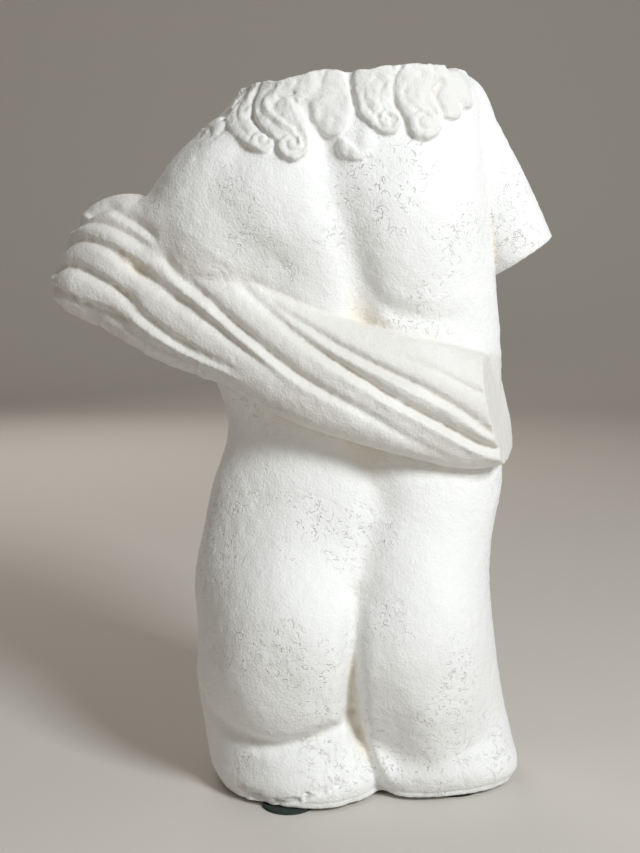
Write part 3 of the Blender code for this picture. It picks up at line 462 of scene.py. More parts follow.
# %% Folds along the cloth
# Half width as a share of the cloth's, then distance along the cloth, place across it (such a share
# too) and depth at a few stations. A negative depth is a ridge, which catches the light.
FOLDS = {
    "main": (0.08, [
        (-0.19, 0.8, 0.004), (0.01, 0.8, 0.0045), (0.032, 0.82, 0.005), (0.043, 0.7, 0.005),
        (0.058, 0.55, 0.005), (0.08, 0.47, 0.0055), (0.121, 0.33, 0.0065), (0.149, 0.24, 0.0075),
        (0.197, 0.01, 0.008), (0.237, -0.13, 0.0075), (0.275, -0.28, 0.006), (0.307, -0.42, 0.0042),
        (0.343, -0.62, 0.0028), (0.385, -0.82, 0.001)]),
    "shoulder": (0.055, [
        (0.03, 0.98, 0.0), (0.045, 0.9, 0.0034), (0.059, 0.78, 0.0036), (0.074, 0.71, 0.0026),
        (0.092, 0.65, 0.0)]),
    "elbow upper": (0.075, [
        (-0.17, 0.42, 0.004), (0.008, 0.43, 0.0048), (0.027, 0.54, 0.0055), (0.042, 0.46, 0.0055),
        (0.06, 0.42, 0.0038), (0.09, 0.36, 0.0)]),
    "elbow middle": (0.085, [
        (-0.19, 0.08, 0.005), (0.01, 0.08, 0.0055), (0.026, 0.23, 0.0062), (0.036, 0.19, 0.007),
        (0.05, 0.09, 0.0074), (0.076, 0.06, 0.0072), (0.105, 0.04, 0.0072), (0.132, 0.0, 0.0078),
        (0.161, -0.08, 0.007), (0.195, -0.23, 0.0048), (0.235, -0.34, 0.0)]),
    "elbow lower": (0.062, [
        (-0.15, -0.3, 0.0), (-0.1, -0.32, 0.0035), (0.01, -0.32, 0.0036), (0.024, -0.26, 0.0045),
        (0.044, -0.32, 0.005), (0.07, -0.37, 0.0056), (0.1, -0.44, 0.006), (0.125, -0.51, 0.006),
        (0.145, -0.57, 0.0052), (0.176, -0.62, 0.003), (0.21, -0.62, 0.0)]),
    "hem under the elbow": (0.05, [
        (0.008, -0.56, 0.002), (0.024, -0.84, 0.0032), (0.062, -0.74, 0.004), (0.105, -0.77, 0.004),
        (0.134, -0.79, 0.003), (0.17, -0.82, 0.0)]),
    "back lower": (0.075, [
        (0.1, 0.88, 0.0), (0.125, 0.82, 0.003), (0.15, 0.75, 0.0038), (0.181, 0.62, 0.0052),
        (0.212, 0.48, 0.0066), (0.256, 0.32, 0.0078), (0.292, 0.15, 0.0084), (0.326, -0.05, 0.0084),
        (0.359, -0.21, 0.0084), (0.398, -0.39, 0.0078), (0.441, -0.66, 0.007)]),
    "back upper": (0.066, [
        (0.185, 0.7, 0.0), (0.215, 0.64, 0.0042), (0.249, 0.59, 0.006), (0.275, 0.5, 0.0072),
        (0.322, 0.34, 0.0068), (0.347, 0.24, 0.0062), (0.371, 0.1, 0.0056), (0.402, -0.13, 0.005),
        (0.44, -0.4, 0.0046)]),
    "back edge": (0.05, [
        (0.3, 0.69, 0.0), (0.335, 0.63, 0.0024), (0.367, 0.51, 0.0032), (0.39, 0.43, 0.0034),
        (0.43, 0.26, 0.003)]),
    "ridge under the main fold": (0.06, [
        (0.07, 0.36, 0.0), (0.118, 0.19, -0.0018), (0.15, 0.09, -0.0028), (0.18, -0.06, -0.003),
        (0.21, -0.19, -0.003), (0.24, -0.28, -0.0024), (0.27, -0.4, -0.0014), (0.3, -0.52, 0.0)]),
    "ridge under the elbow": (0.055, [
        (0.055, -0.52, 0.0), (0.083, -0.56, -0.0016), (0.114, -0.62, -0.0022), (0.15, -0.7, -0.0026),
        (0.182, -0.74, -0.002), (0.215, -0.74, 0.0)]),
    "lower ridge on the back": (0.055, [
        (0.24, 0.22, 0.0), (0.285, 0.03, -0.0016), (0.31, -0.11, -0.0024), (0.345, -0.28, -0.0026),
        (0.388, -0.5, -0.0026), (0.435, -0.78, -0.002)]),
    "upper ridge on the back": (0.05, [
        (0.25, 0.44, 0.0), (0.29, 0.32, -0.0016), (0.322, 0.2, -0.002), (0.36, 0.03, -0.002),
        (0.405, -0.28, -0.0018)]),
}
FOLDS_BEGIN = (0.040, 0.062)  # distance along the cloth over which they begin, past the elbow's bend
FOLD_FADE = 0.004  # distance over which a fold starts and ends
FOLD_POWER = 1.6  # a fold's valley is exp(-gap^power): 2 would be a bell, and less is sharper
FOLDS_FULL = 0.5  # share of the cloth's depth at which the folds are at their full depth


def valley(gap, half_width):
    """1 in the middle of a fold, falling off as exp(-(gap / half width)^1.6)."""
    return np.exp(-(np.abs(gap / half_width) ** FOLD_POWER))


def fold_relief(distance, share):
    """How far the cloth is sunk: the sum over the folds of depth * valley(gap), where gap is the
    distance across to the fold's line, which runs smoothly through its stations."""
    relief = np.zeros(np.broadcast_shapes(distance.shape, share.shape))
    for half_width, stations in FOLDS.values():
        stops, *values = np.array(stations).T
        line, depth = flowing(distance[:, 0], stops, np.stack(values, axis=1)).T[..., None]
        started = eased(distance, stops[0] - FOLD_FADE, stops[0])
        ended = eased(-distance, -stops[-1] - FOLD_FADE, -stops[-1])
        relief -= depth * (started * ended) * valley(share - line, half_width)
    return relief * eased(np.abs(distance), *FOLDS_BEGIN)


def drape_grid():
    """Rounded sections along the cloth's path, sunk along the folds, and cut off at the hip."""
    path, at, half, deep, (along, across, out) = drape_sections(DRAPE_ALONG)
    turn = circle(DRAPE_AROUND)
    above, below = rounded(*turn, DRAPE_SQUARE_ABOVE), rounded(*turn, DRAPE_SQUARE_BELOW)
    width, depth = np.where(turn[0] > 0, above, below)
    first = at[np.argmin(path[:, 0])]
    start = np.interp(DRAPE_START, path[at >= first][:, 0], at[at >= first])
    relief = fold_relief((at - start)[:, None], width[None, :]) * eased(depth, 0, FOLDS_FULL)
    grid = tube(path, half[:, None] * width, across, deep[:, None] * depth + relief, out)
    return cut_by(grid, along, DRAPE_END)


grids["drapery"] = drape_grid()
print("folds:", len(FOLDS), "points in the cloth:", grids["drapery"].shape[:2])

# %% [markdown]
# ## The hair
#
# Wavy locks lie flat over the back of the shoulders, side by side and partly over each other, and end
# in curls. Each is a broad, flat band with a steep edge, pressed into what lies under it, and its
# strands are ridges and grooves along curved lines. A sculptor works in the same order: first the
# mass of each lock, then its edge, then its strands. All of it is a height over the back, so that the
# locks meet as they do in carved relief. Hair particles would suit a living head, but a carved lock
# is a solid form, and the export keeps only real surfaces.

# %% Locks, curls and strands
# Height of each lock over the skin, then (x, z, half width) down the middle of its band
LOCKS = {
    "forward": (0.0085, [
        (-0.0475, 0.66, 0.003), (-0.0515, 0.652, 0.0035), (-0.0575, 0.641, 0.004),
        (-0.064, 0.629, 0.003)]),
    "on the shoulder": (0.008, [
        (-0.0635, 0.627, 0.005), (-0.073, 0.619, 0.007), (-0.082, 0.613, 0.008),
        (-0.088, 0.608, 0.0065)]),
    "left": (0.007, [
        (-0.0255, 0.678, 0.008), (-0.0345, 0.661, 0.009), (-0.044, 0.645, 0.0098),
        (-0.053, 0.633, 0.0106), (-0.0555, 0.624, 0.0106), (-0.05, 0.616, 0.0108),
        (-0.039, 0.608, 0.0104)]),
    "patch": (0.0055, [
        (0.0255, 0.68, 0.0117), (0.0255, 0.6665, 0.012), (0.0254, 0.652, 0.016), (0.0256, 0.636, 0.0186),
        (0.027, 0.623, 0.0135), (0.0285, 0.6155, 0.0055)]),
    "left inner": (0.008, [
        (0.0, 0.678, 0.0225), (-0.008, 0.658, 0.0215), (-0.0185, 0.644, 0.02), (-0.0205, 0.633, 0.0208),
        (-0.0125, 0.62, 0.0175), (-0.0055, 0.608, 0.013)]),
    "right inner": (0.008, [
        (0.074, 0.682, 0.028), (0.0675, 0.662, 0.0238), (0.0615, 0.647, 0.016), (0.065, 0.636, 0.0158),
        (0.071, 0.627, 0.014)]),
    "last on the right": (0.0062, [(0.133, 0.668, 0.01), (0.141, 0.658, 0.011), (0.1445, 0.646, 0.0096)]),
    "right outer": (0.0066, [(0.122, 0.673, 0.0123), (0.1275, 0.651, 0.012), (0.131, 0.636, 0.0108)]),
    "right": (0.0085, [
        (0.115, 0.682, 0.0195), (0.103, 0.665, 0.0176), (0.096, 0.651, 0.0167), (0.0995, 0.64, 0.017),
        (0.1055, 0.63, 0.016)]),
    "knob": (0.0045, [
        (0.035, 0.606, 0.0045), (0.0385, 0.5995, 0.0072), (0.046, 0.5945, 0.006),
        (0.053, 0.5925, 0.0035)]),
}
# The disc (x, z, half width) that a lock ends in, how often its groove goes round on the way in
# (clockwise from behind, or the other way if negative), and where it starts, in degrees
CURLS = {
    "on the shoulder": ((-0.083, 0.612, 0.0085), 1.0, 90),
    "left": ((-0.0345, 0.606, 0.0112), 1.1, 185),
    "left inner": ((-0.007, 0.602, 0.0142), 1.4, 150),
    "right inner": ((0.0755, 0.623, 0.0124), -1.2, 130),
    "right": ((0.107, 0.622, 0.016), 1.4, 140),
}
CURL_GROOVE = (-0.0029, 0.0015)  # rise and half width
CURL_GROOVE_REACH = (0.78, 0.20)  # reach at its start and end, as shares of the disc's
# Height, softness and band of the places where the carving is worn level between forms
WORN_LEVEL = {
    "above the patch": (0.0064, 0.006, [
        (0.01, 0.684, 0.016), (0.0095, 0.66, 0.012), (0.005, 0.645, 0.006)]),
    "between the right locks": (0.0062, 0.005, [
        (0.124, 0.684, 0.018), (0.134, 0.664, 0.014), (0.137, 0.655, 0.012), (0.1375, 0.646, 0.007)]),
    "beside the knob": (0.0022, 0.012, [
        (0.057, 0.624, 0.007), (0.057, 0.607, 0.012), (0.055, 0.597, 0.01)]),
}
# Rise of each strand (a groove is negative), its half width, and the places (x, z) it passes
STRANDS = {
    "behind the left lock": (-0.0045, 0.0017, [
        (-0.044, 0.656), (-0.052, 0.645), (-0.06, 0.635), (-0.066, 0.627)]),
    "left, outer groove": (-0.0024, 0.0013, [
        (-0.039, 0.657), (-0.048, 0.644), (-0.055, 0.633), (-0.054, 0.624), (-0.051, 0.616),
        (-0.046, 0.61)]),
    "left, inner groove": (-0.0016, 0.0012, [
        (-0.033, 0.652), (-0.043, 0.64), (-0.048, 0.631), (-0.046, 0.624), (-0.038, 0.617),
        (-0.034, 0.61)]),
    "left, lit strand": (0.0012, 0.0018, [(-0.034, 0.618), (-0.026, 0.612), (-0.022, 0.603)]),
    "inner, low groove": (-0.0022, 0.0014, [
        (-0.022, 0.655), (-0.029, 0.646), (-0.034, 0.637), (-0.034, 0.629), (-0.026, 0.621),
        (-0.016, 0.614)]),
    "inner, main strand": (0.002, 0.0024, [
        (-0.015, 0.658), (-0.021, 0.646), (-0.029, 0.637), (-0.026, 0.628), (-0.017, 0.62),
        (-0.006, 0.612)]),
    "inner, deep groove": (-0.003, 0.0016, [
        (-0.004, 0.647), (-0.013, 0.645), (-0.02, 0.64), (-0.023, 0.634), (-0.019, 0.627), (-0.01, 0.619),
        (-0.001, 0.612)]),
    "inner, short strand": (0.0012, 0.0018, [
        (-0.012, 0.642), (-0.008, 0.635), (-0.004, 0.628), (0.002, 0.617)]),
    "inner, high groove": (-0.002, 0.0014, [
        (-0.001, 0.658), (-0.006, 0.649), (-0.005, 0.64), (-0.001, 0.629), (0.004, 0.619)]),
    "inner, lit edge": (0.0016, 0.0014, [(-0.003, 0.641), (0.002, 0.632), (0.008, 0.619), (0.012, 0.61)]),
    "pit in the inner curl": (-0.004, 0.0013, [(-0.01, 0.61), (-0.005, 0.606), (-0.004, 0.602)]),
    "nick in the inner curl": (-0.0034, 0.0012, [(0.0, 0.608), (0.002, 0.602)]),
    "hollow in the patch": (-0.0016, 0.0026, [(0.015, 0.664), (0.018, 0.653), (0.015, 0.645)]),
    "edge of the patch": (0.002, 0.0015, [
        (0.037, 0.672), (0.043, 0.648), (0.0465, 0.635), (0.048, 0.624), (0.043, 0.615),
        (0.0385, 0.606)]),
    "right inner, outer groove": (-0.0028, 0.0014, [
        (0.066, 0.662), (0.059, 0.654), (0.055, 0.644), (0.057, 0.635), (0.062, 0.628), (0.068, 0.624)]),
    "right inner, strand": (0.0014, 0.0018, [(0.062, 0.66), (0.057, 0.651), (0.056, 0.642)]),
    "right inner, middle groove": (-0.0022, 0.0014, [
        (0.078, 0.675), (0.079, 0.664), (0.072, 0.654), (0.068, 0.644), (0.07, 0.633), (0.076, 0.627)]),
    "right inner, pit": (-0.004, 0.0015, [(0.0765, 0.6275), (0.078, 0.6205)]),
    "right, outer groove": (-0.0026, 0.0014, [
        (0.089, 0.648), (0.091, 0.64), (0.098, 0.633), (0.105, 0.628), (0.112, 0.624), (0.114, 0.616)]),
    "right, inner groove": (-0.002, 0.0013, [
        (0.105, 0.641), (0.112, 0.633), (0.119, 0.625), (0.12, 0.616)]),
    "right, upper groove": (-0.002, 0.0014, [(0.105, 0.665), (0.094, 0.656), (0.088, 0.647)]),
    "right, top groove": (-0.0022, 0.0016, [
        (0.113, 0.675), (0.113, 0.66), (0.108, 0.651), (0.106, 0.642)]),
    "between right and outer": (-0.003, 0.0018, [
        (0.123, 0.658), (0.119, 0.651), (0.117, 0.644), (0.12, 0.637), (0.124, 0.631)]),
    "between the outer two": (-0.002, 0.0016, [(0.131, 0.665), (0.136, 0.653), (0.139, 0.64)]),
}
print("locks, curls and strands:", len(LOCKS), len(CURLS), len(STRANDS))

# %% Height of the hair
LOCK_EDGE = 0.0022  # how wide the steep edge of a lock is
LOCK_CROWN = 0.22  # share of the height that a lock gains from its edge to its middle
LOCK_CROWNED_IN = 0.010
EDGE_FURROW = 0.65  # how far a lock presses in what it lies on, as a share of the height there
EDGE_FURROW_WIDTH = 0.0017
STRAND_BED = (0.001, 0.004)  # height of the hair over which strands begin to show
LOCK_DETAIL, MARK_DETAIL = 90, 60  # points on the smooth line of a lock or curl, and of a mark
OUTSIDE = 0.006  # how far outside a band a place still gets its own distance


def inside_line(x, z, line):
    """How far inside a band each place lies: the most, over the band's middle line, of the half
    width less the distance. Places well outside are left at -OUTSIDE."""
    low = (line[:, :2] - line[:, 2:]).min(axis=0) - OUTSIDE
    high = (line[:, :2] + line[:, 2:]).max(axis=0) + OUTSIDE
    inside = np.full(np.shape(x), -OUTSIDE)
    close = (x > low[0]) & (x < high[0]) & (z > low[1]) & (z < high[1])
    gap = np.hypot(x[close][:, None] - line[:, 0], z[close][:, None] - line[:, 1])
    inside[close] = (line[:, 2] - gap).max(axis=1, initial=-OUTSIDE)
    return inside


def inside_mark(x, z, places):
    """How far each place (x, z) lies inside the smooth band through a mark's own places."""
    return inside_line(x, z, smooth_path(places, MARK_DETAIL)[0])


def laid_over(hair, height, inside):
    """A form laid over the hair so far: a furrow pressed in along its edge, then its own height."""
    pressed = hair * (1 - EDGE_FURROW * np.exp(-((inside / EDGE_FURROW_WIDTH) ** 2)))
    return np.maximum(pressed, height * eased(inside, 0, LOCK_EDGE))


def spiral(disc, turns, start):
    """The line (x, z) of a curl's groove: its reach shrinks evenly as it winds towards the middle."""
    wind = np.linspace(0, 1, LOCK_DETAIL)
    reach = disc[2] * (CURL_GROOVE_REACH[0] + (CURL_GROOVE_REACH[1] - CURL_GROOVE_REACH[0]) * wind)
    angle = np.radians(start) - 2 * np.pi * turns * wind
    return np.stack([disc[0] + reach * np.cos(angle), disc[1] + reach * np.sin(angle)], axis=1)


def hair_height(x, z):
    """Height of the hair over the skin at places (x, z): locks, curls over them, then strands."""
    hair = np.zeros(np.shape(x))
    for name, (height, points) in LOCKS.items():
        band = smooth_path(points, LOCK_DETAIL)[0]
        if name in CURLS:
            band = np.concatenate([band, [CURLS[name][0]]])
        inside = inside_line(x, z, band)
        crowned = height * (1 - LOCK_CROWN + LOCK_CROWN * eased(inside, 0, LOCK_CROWNED_IN))
        hair = laid_over(hair, crowned, inside)
    for height, softness, places in WORN_LEVEL.values():
        hair = np.maximum(hair, height * eased(inside_mark(x, z, places), 0, softness))
    lines = [(*size, smooth_path(places, MARK_DETAIL)[0]) for *size, places in STRANDS.values()]
    lines += [(*CURL_GROOVE, spiral(*curl)) for curl in CURLS.values()]
    present = eased(hair, *STRAND_BED)
    for rise, half_width, line in lines:
        gap = half_width - inside_line(x, z, np.insert(line, 2, half_width, axis=1))
        hair = hair + present * rise * np.exp(-((gap / half_width) ** 2))
    return np.maximum(hair, 0)


over_the_back = np.meshgrid(np.linspace(-0.09, 0.15, 200), [0.62, 0.64])
print("tallest hair:", (hair_height(*over_the_back).max() * 1000).round(1), "mm")

# %% The hair as a shell
HAIR_LOW, HAIR_HIGH = 0.582, 0.692
HAIR_ROWS, HAIR_COLUMNS = 200, 520
SUNK = 0.0012  # how far under the skin the shell runs where there is no hair
SURFACED = 0.0008  # height of the hair at which the shell has come up to it
INNER_STEP = 8  # columns of the outer sheet for each one of the inner sheet
INNER_SHARE = (0.85, 0.7)  # how wide and how deep the inner sheet is, as shares of the outer one


def hair_grid():
    """A shell over the trunk's back: its surface raised along its own normals by the hair's height,
    and closed by the same outlines drawn in towards the middle."""
    turns, heights = np.linspace(np.pi, 2 * np.pi, HAIR_COLUMNS), np.linspace(HAIR_LOW, HAIR_HIGH, HAIR_ROWS)
    turn, z = np.meshgrid(turns, heights)
    middle, half, _, _ = (part[:, None] for part in trunk_sizes(heights))
    x = middle + half * rounded(np.cos(turn), np.sin(turn), TRUNK_SQUARENESS)[0]
    skin = np.stack([x, back_of_trunk(x, z), z], axis=-1)
    facing = unit(np.cross(np.gradient(skin, axis=1), np.gradient(skin, axis=0)))
    height = hair_height(x, z)
    height -= SUNK * (1 - eased(height, 0, SURFACED))
    inner = skin[:, ::-INNER_STEP].copy()
    inner[..., 0] = middle + (inner[..., 0] - middle) * INNER_SHARE[0]
    inner[..., 1] = SIDE_LINE_Y + (inner[..., 1] - SIDE_LINE_Y) * INNER_SHARE[1]
    return np.concatenate([skin + height[..., None] * facing, inner], axis=1)


grids["hair"] = hair_grid()
print("points in the hair's shell:", grids["hair"].shape[:2])

# %% [markdown]
# ## One skin
#
# The forms overlap like lumps of clay. A voxel remesh fuses them: it keeps only the outside, and
# every edge comes out slightly rounded, as on a cast from a worn mould. The result is a close, even
# mesh that fine relief can be laid on. A Boolean union would keep each form's own mesh, but its thin
# triangles along the seams take no fine relief.

# %% Meshes from arrays
def mesh_of(name, points, *polygons):
    """A mesh from an array of points and arrays of polygons, each with its own count of corners."""
    corners = np.concatenate([group.ravel() for group in polygons])
    sizes = np.concatenate([np.full(len(group), group.shape[1]) for group in polygons])
    mesh = bpy.data.meshes.new(name)
    mesh.vertices.add(len(points))
    mesh.vertices.foreach_set("co", np.asarray(points, np.float32).ravel())
    mesh.loops.add(len(corners))
    mesh.loops.foreach_set("vertex_index", corners.astype(np.int32))
    mesh.polygons.add(len(sizes))
    mesh.polygons.foreach_set("loop_start", (np.cumsum(sizes) - sizes).astype(np.int32))
    mesh.update(calc_edges=True)
    return mesh


def closed_mesh(name, grids):
    """One mesh of closed tubes: each row of a grid is a ring, joined to the next by four-sided
    faces, and a fan of triangles round its mean point closes each end ring."""
    points, quads, fans, first = [], [], [], 0
    for grid in grids:
        rings, around, _ = grid.shape
        index = first + np.arange(rings * around).reshape(rings, around)
        beside = np.roll(index, -1, axis=1)
        quads.append(np.stack([index[:-1], beside[:-1], beside[1:], index[1:]], axis=-1).reshape(-1, 4))
        ends = first + rings * around + np.arange(2)
        fans.append(np.stack([beside[0], index[0], np.full(around, ends[0])], axis=-1))
        fans.append(np.stack([index[-1], beside[-1], np.full(around, ends[1])], axis=-1))
        points += [grid.reshape(-1, 3), grid[[0, -1]].mean(axis=1)]
        first += rings * around + 2
    return mesh_of(name, np.concatenate(points), np.concatenate(quads), np.concatenate(fans))


def sheet_faces(rows, columns):
    """The numbers of a grid's points, and the four-sided faces between them."""
    index = np.arange(rows * columns).reshape(rows, columns)
    faces = np.stack([index[:-1, :-1], index[:-1, 1:], index[1:, 1:], index[1:, :-1]], axis=-1)
    return index, faces.reshape(-1, 4)


print("faces in a sheet of 3 by 3 points:", len(sheet_faces(3, 3)[1]))

# %% Fuse the forms
VOXEL = 0.0013


def add_object(name, data):
    made = bpy.data.objects.new(name, data)
    bpy.context.scene.collection.objects.link(made)
    return made


def settle(piece):
    """Makes the result of the piece's modifiers its mesh, and takes them off."""
    bpy.context.view_layer.update()
    mesh = bpy.data.meshes.new_from_object(piece.evaluated_get(bpy.context.evaluated_depsgraph_get()))
    piece.modifiers.clear()
    piece.data = mesh


def fuse(piece):
    """One skin round everything in the piece, made of cubes of space of one size."""
    remesh = piece.modifiers.new("one skin", "REMESH")
    remesh.mode = "VOXEL"
    remesh.voxel_size = VOXEL
    settle(piece)


torso = add_object("plaster_torso", closed_mesh("forms", grids.values()))
fuse(torso)
print("points in the fused skin:", len(torso.data.vertices))

# %% [markdown]
# ## The flat foot and the break at the neck
#
# The cast is cut flat below, and above it ends in a break that runs through the hair, highest at the
# right shoulder and lower to the left and to the front. Both are cut away with closed blocks; the
# upper one has an uneven underside. Fusing once more rounds the new edges a little, because even a
# fresh edge of plaster is never sharp.

# %% The height of the break
BREAK_TOP = 0.6745  # height of the break across the hair, where it is highest
BREAK_PEAK_X = 0.113
BREAK_SLOPE = 0.080  # how fast the break falls to the left
BREAK_LEFT_X = 0.020
BREAK_FALL_LEFT = 0.4  # how much faster it falls beyond that place
BREAK_RISE_RIGHT = 5.0  # how fast it runs out over the right shoulder
BREAK_LEAN, BREAK_LEAN_Y = 0.10, -0.06  # how fast it falls towards the front, and from where
RIPPLES, RIPPLE_HEIGHT, RIPPLE_FADE = 5, 0.0010, 0.4
RIPPLE_TURN, RIPPLE_WAVE, RIPPLE_TIGHTER = 2.4, 70, 45  # in radians, and radians to the metre


def break_height(x, y):
    """Height of the break: slopes to the left and to the front, a curved rise to the right, and
    five sine ripples that run in different directions."""
    level = BREAK_SLOPE * np.minimum(x - BREAK_PEAK_X, 0)
    level -= BREAK_FALL_LEFT * np.minimum(x - BREAK_LEFT_X, 0) ** 2
    level += BREAK_RISE_RIGHT * np.maximum(x - BREAK_PEAK_X, 0) ** 2 - BREAK_LEAN * (y - BREAK_LEAN_Y)
    for number in range(RIPPLES):
        turn, wave = RIPPLE_TURN * number, RIPPLE_WAVE + RIPPLE_TIGHTER * number
        ripple = np.sin(wave * (x * np.cos(turn) + y * np.sin(turn)) + number)
        level += RIPPLE_HEIGHT * ripple / (1 + RIPPLE_FADE * number)
    return BREAK_TOP + level


print("the break falls to the left by", round(float(break_height(0.11, 0) - break_height(-0.04, 0)), 3), "m")

# %% Cut the foot and the break
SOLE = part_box("torso")[0].z
BREAK_CUTTER = ((-0.12, 0.22, 171), (-0.15, 0.15, 151))  # from, to and number of points in x and in y
FOOT_CUTTER = ((-0.4, 0.4, 2), (-0.4, 0.4, 2))
BREAK_CUTTER_HEIGHT, FOOT_CUTTER_HEIGHT = 0.15, 0.1


def block_mesh(name, low, high):
    """A closed block between two sheets of points that have the same rows and columns."""
    index, sheet = sheet_faces(*low.shape[:2])
    rim = np.concatenate([index[0, :-1], index[:-1, -1], index[-1, :0:-1], index[:0:-1, 0]])
    beside, up = np.roll(rim, -1), index.size
    walls = np.stack([rim, beside, beside + up, rim + up], axis=-1)
    points = np.concatenate([low.reshape(-1, 3), high.reshape(-1, 3)])
    return mesh_of(name, points, sheet[:, ::-1], sheet + up, walls)


def cut_away(piece, mesh):
    cutter = add_object("cutter", mesh)
    cut = piece.modifiers.new("cut", "BOOLEAN")
    cut.operation, cut.solver, cut.object = "DIFFERENCE", "MANIFOLD", cutter
    settle(piece)
    bpy.data.objects.remove(cutter)


x, y = np.meshgrid(*(np.linspace(*side) for side in BREAK_CUTTER))
broken = np.stack([x, y, break_height(x, y)], axis=-1)
cut_away(torso, block_mesh("break", broken, broken * (1, 1, 0) + (0, 0, BREAK_TOP + BREAK_CUTTER_HEIGHT)))
x, y = np.meshgrid(*(np.linspace(*side) for side in FOOT_CUTTER))
foot = np.stack([x, y, np.full(x.shape, SOLE)], axis=-1)
cut_away(torso, block_mesh("foot", foot - (0, 0, FOOT_CUTTER_HEIGHT), foot))
fuse(torso)
print("points after the cuts:", len(torso.data.vertices))

# %% [markdown]
# ## Where the cloth and the hair are
#
# Skin, cloth and hair are roughened and coloured differently, so every point gets a number from 0 to
# 1 for each. A point is cloth if it lies inside the band's section, a little enlarged, at the nearest
# place on the band's path. It is hair where the hair has a height. Painting the masks by hand would
# do the same, but these stay right when a form is moved.

# %% Masks of cloth, hair and break
CLOTH_STEPS = 160
CLOTH_LOW, CLOTH_HIGH = 0.28, 0.60
CLOTH_POWER, CLOTH_EDGE = 3, (1.00, 1.08)  # squareness of its section, and where the mask ends
HAIR_SHOWS = (0.0020, 0.0034)  # height over which hair begins to be told from skin
BREAK_EDGE, BREAK_FACING = (0.0008, 0.0020), (0.3, 0.7)  # how near the break, and how far upwards
BLOCK = 20000  # points that are compared with the path at a time


def read_triples(collection, name, kind=np.float32):
    """Three numbers for each item of a mesh's collection, as rows of an array."""
    triples = np.empty(len(collection) * 3, kind)
    collection.foreach_get(name, triples)
    return triples.reshape(-1, 3)


def points_and_normals(mesh):
    vectors = read_triples(mesh.vertices, "co"), read_triples(mesh.vertex_normals, "vector")
    return (rows.astype(float) for rows in vectors)


def nearest_on(points, path):
    """For each point the number of the nearest place on a path: least squared distance, in blocks."""
    found = np.empty(len(points), int)
    for start in range(0, len(points), BLOCK):
        block = points[start : start + BLOCK]
        gap = (path**2).sum(axis=1) - 2 * block @ path.T
        found[start : start + BLOCK] = gap.argmin(axis=1)
    return found


def cloth_mask(points):
    """1 inside the drapery's section and 0 a little beyond it: (|width|^3 + |depth|^3)^(1/3)."""
    path, _, half, deep, (_, across, out) = drape_sections(CLOTH_STEPS)
    mask = np.zeros(len(points))
    close = np.flatnonzero((points[:, 2] > CLOTH_LOW) & (points[:, 2] < CLOTH_HIGH))
    place = nearest_on(points[close], path)
    gap = points[close] - path[place]
    width = (gap * across[place]).sum(axis=1) / half[place]
    depth = (gap * out[place]).sum(axis=1) / deep[place]
    reach = (np.abs(width) ** CLOTH_POWER + np.abs(depth) ** CLOTH_POWER) ** (1 / CLOTH_POWER)
    mask[close] = 1 - eased(reach, *CLOTH_EDGE)
    return mask


def hair_mask(points):
    """1 where hair stands over the back, and 0 where there is none."""
    mask = np.zeros(len(points))
    close = np.flatnonzero((points[:, 2] > HAIR_LOW) & (points[:, 1] < SIDE_LINE_Y))
    mask[close] = eased(hair_height(points[close, 0], points[close, 2]), *HAIR_SHOWS)
    return mask


points, normals = points_and_normals(torso.data)
cloth, hair = cloth_mask(points), hair_mask(points)
below_break = break_height(points[:, 0], points[:, 1]) - points[:, 2]
broken = (1 - eased(below_break, *BREAK_EDGE)) * eased(normals[:, 2], *BREAK_FACING)
print("share of cloth, hair and break:", *(mask.mean().round(3) for mask in (cloth, hair, broken)))

# %% [markdown]
# ## Joins rubbed smooth
#
# Where two forms meet, the fused skin has a crease that a sculptor would rub away with sandpaper.
# Here each point near such a join moves half way to the middle of its neighbours, many times over.
# A Smooth modifier does the same sum, but it needs a vertex group for each place.

# %% Sand the joins
# Middle, radius and passes of each place where the join between two forms is rubbed smooth, and
# whether cloth and hair are kept as they are there
SANDED = {
    "left shoulder": ((-0.088, -0.080, 0.530), 0.080, 320, True),
    "end of the break": ((0.143, -0.041, 0.673), 0.024, 200, False),
    "foot of the cleft": ((0.047, -0.054, 0.082), 0.018, 120, True),
    "bend of the cloth": ((-0.178, -0.057, 0.474), 0.038, 360, False),
    "under the elbow": ((-0.178, -0.034, 0.444), 0.030, 260, False),
    "cloth on the arm": ((-0.134, -0.058, 0.542), 0.042, 500, False),
    "edge on the shoulder": ((-0.108, -0.075, 0.536), 0.024, 160, False),
    "edge on the back": ((-0.084, -0.085, 0.518), 0.022, 120, False),
    "edge by the flaw": ((-0.055, -0.083, 0.501), 0.020, 120, False),
}
SANDED_EVENLY = 0.55  # share of the radius up to which the rubbing is even


def ends_of_edges(mesh):
    ends = np.empty(len(mesh.edges) * 2, np.int32)
    mesh.edges.foreach_get("vertices", ends)
    return ends.reshape(-1, 2)


def neighbour_sums(values, ends):
    """For each point the sum of its neighbours' values, from both ends of every edge."""
    first, second = ends.T
    total = np.bincount(first, values[second], len(values))
    return total + np.bincount(second, values[first], len(values))


def neighbour_counts(ends, size):
    return np.maximum(np.bincount(ends.ravel(), minlength=size), 1)


def sanded(points, ends, kept, centre, radius, passes):
    """Points in a ball moved half way to the mean of their neighbours, once in each pass. The share
    falls to nothing at the edge of the ball, and where a point is kept."""
    share = 1 - eased(np.linalg.norm(points - centre, axis=1), SANDED_EVENLY * radius, radius)
    share *= 1 - kept
    inside = share > 0
    number = np.cumsum(inside) - 1
    ends = number[ends[inside[ends].all(axis=1)]]
    part, share = points[inside], share[inside, None] / 2
    count = neighbour_counts(ends, len(part))[:, None]
    for _ in range(passes):
        total = np.stack([neighbour_sums(column, ends) for column in part.T], axis=1)
        part = part + share * (total / count - part)
    result = points.copy()
    result[inside] = part
    return result


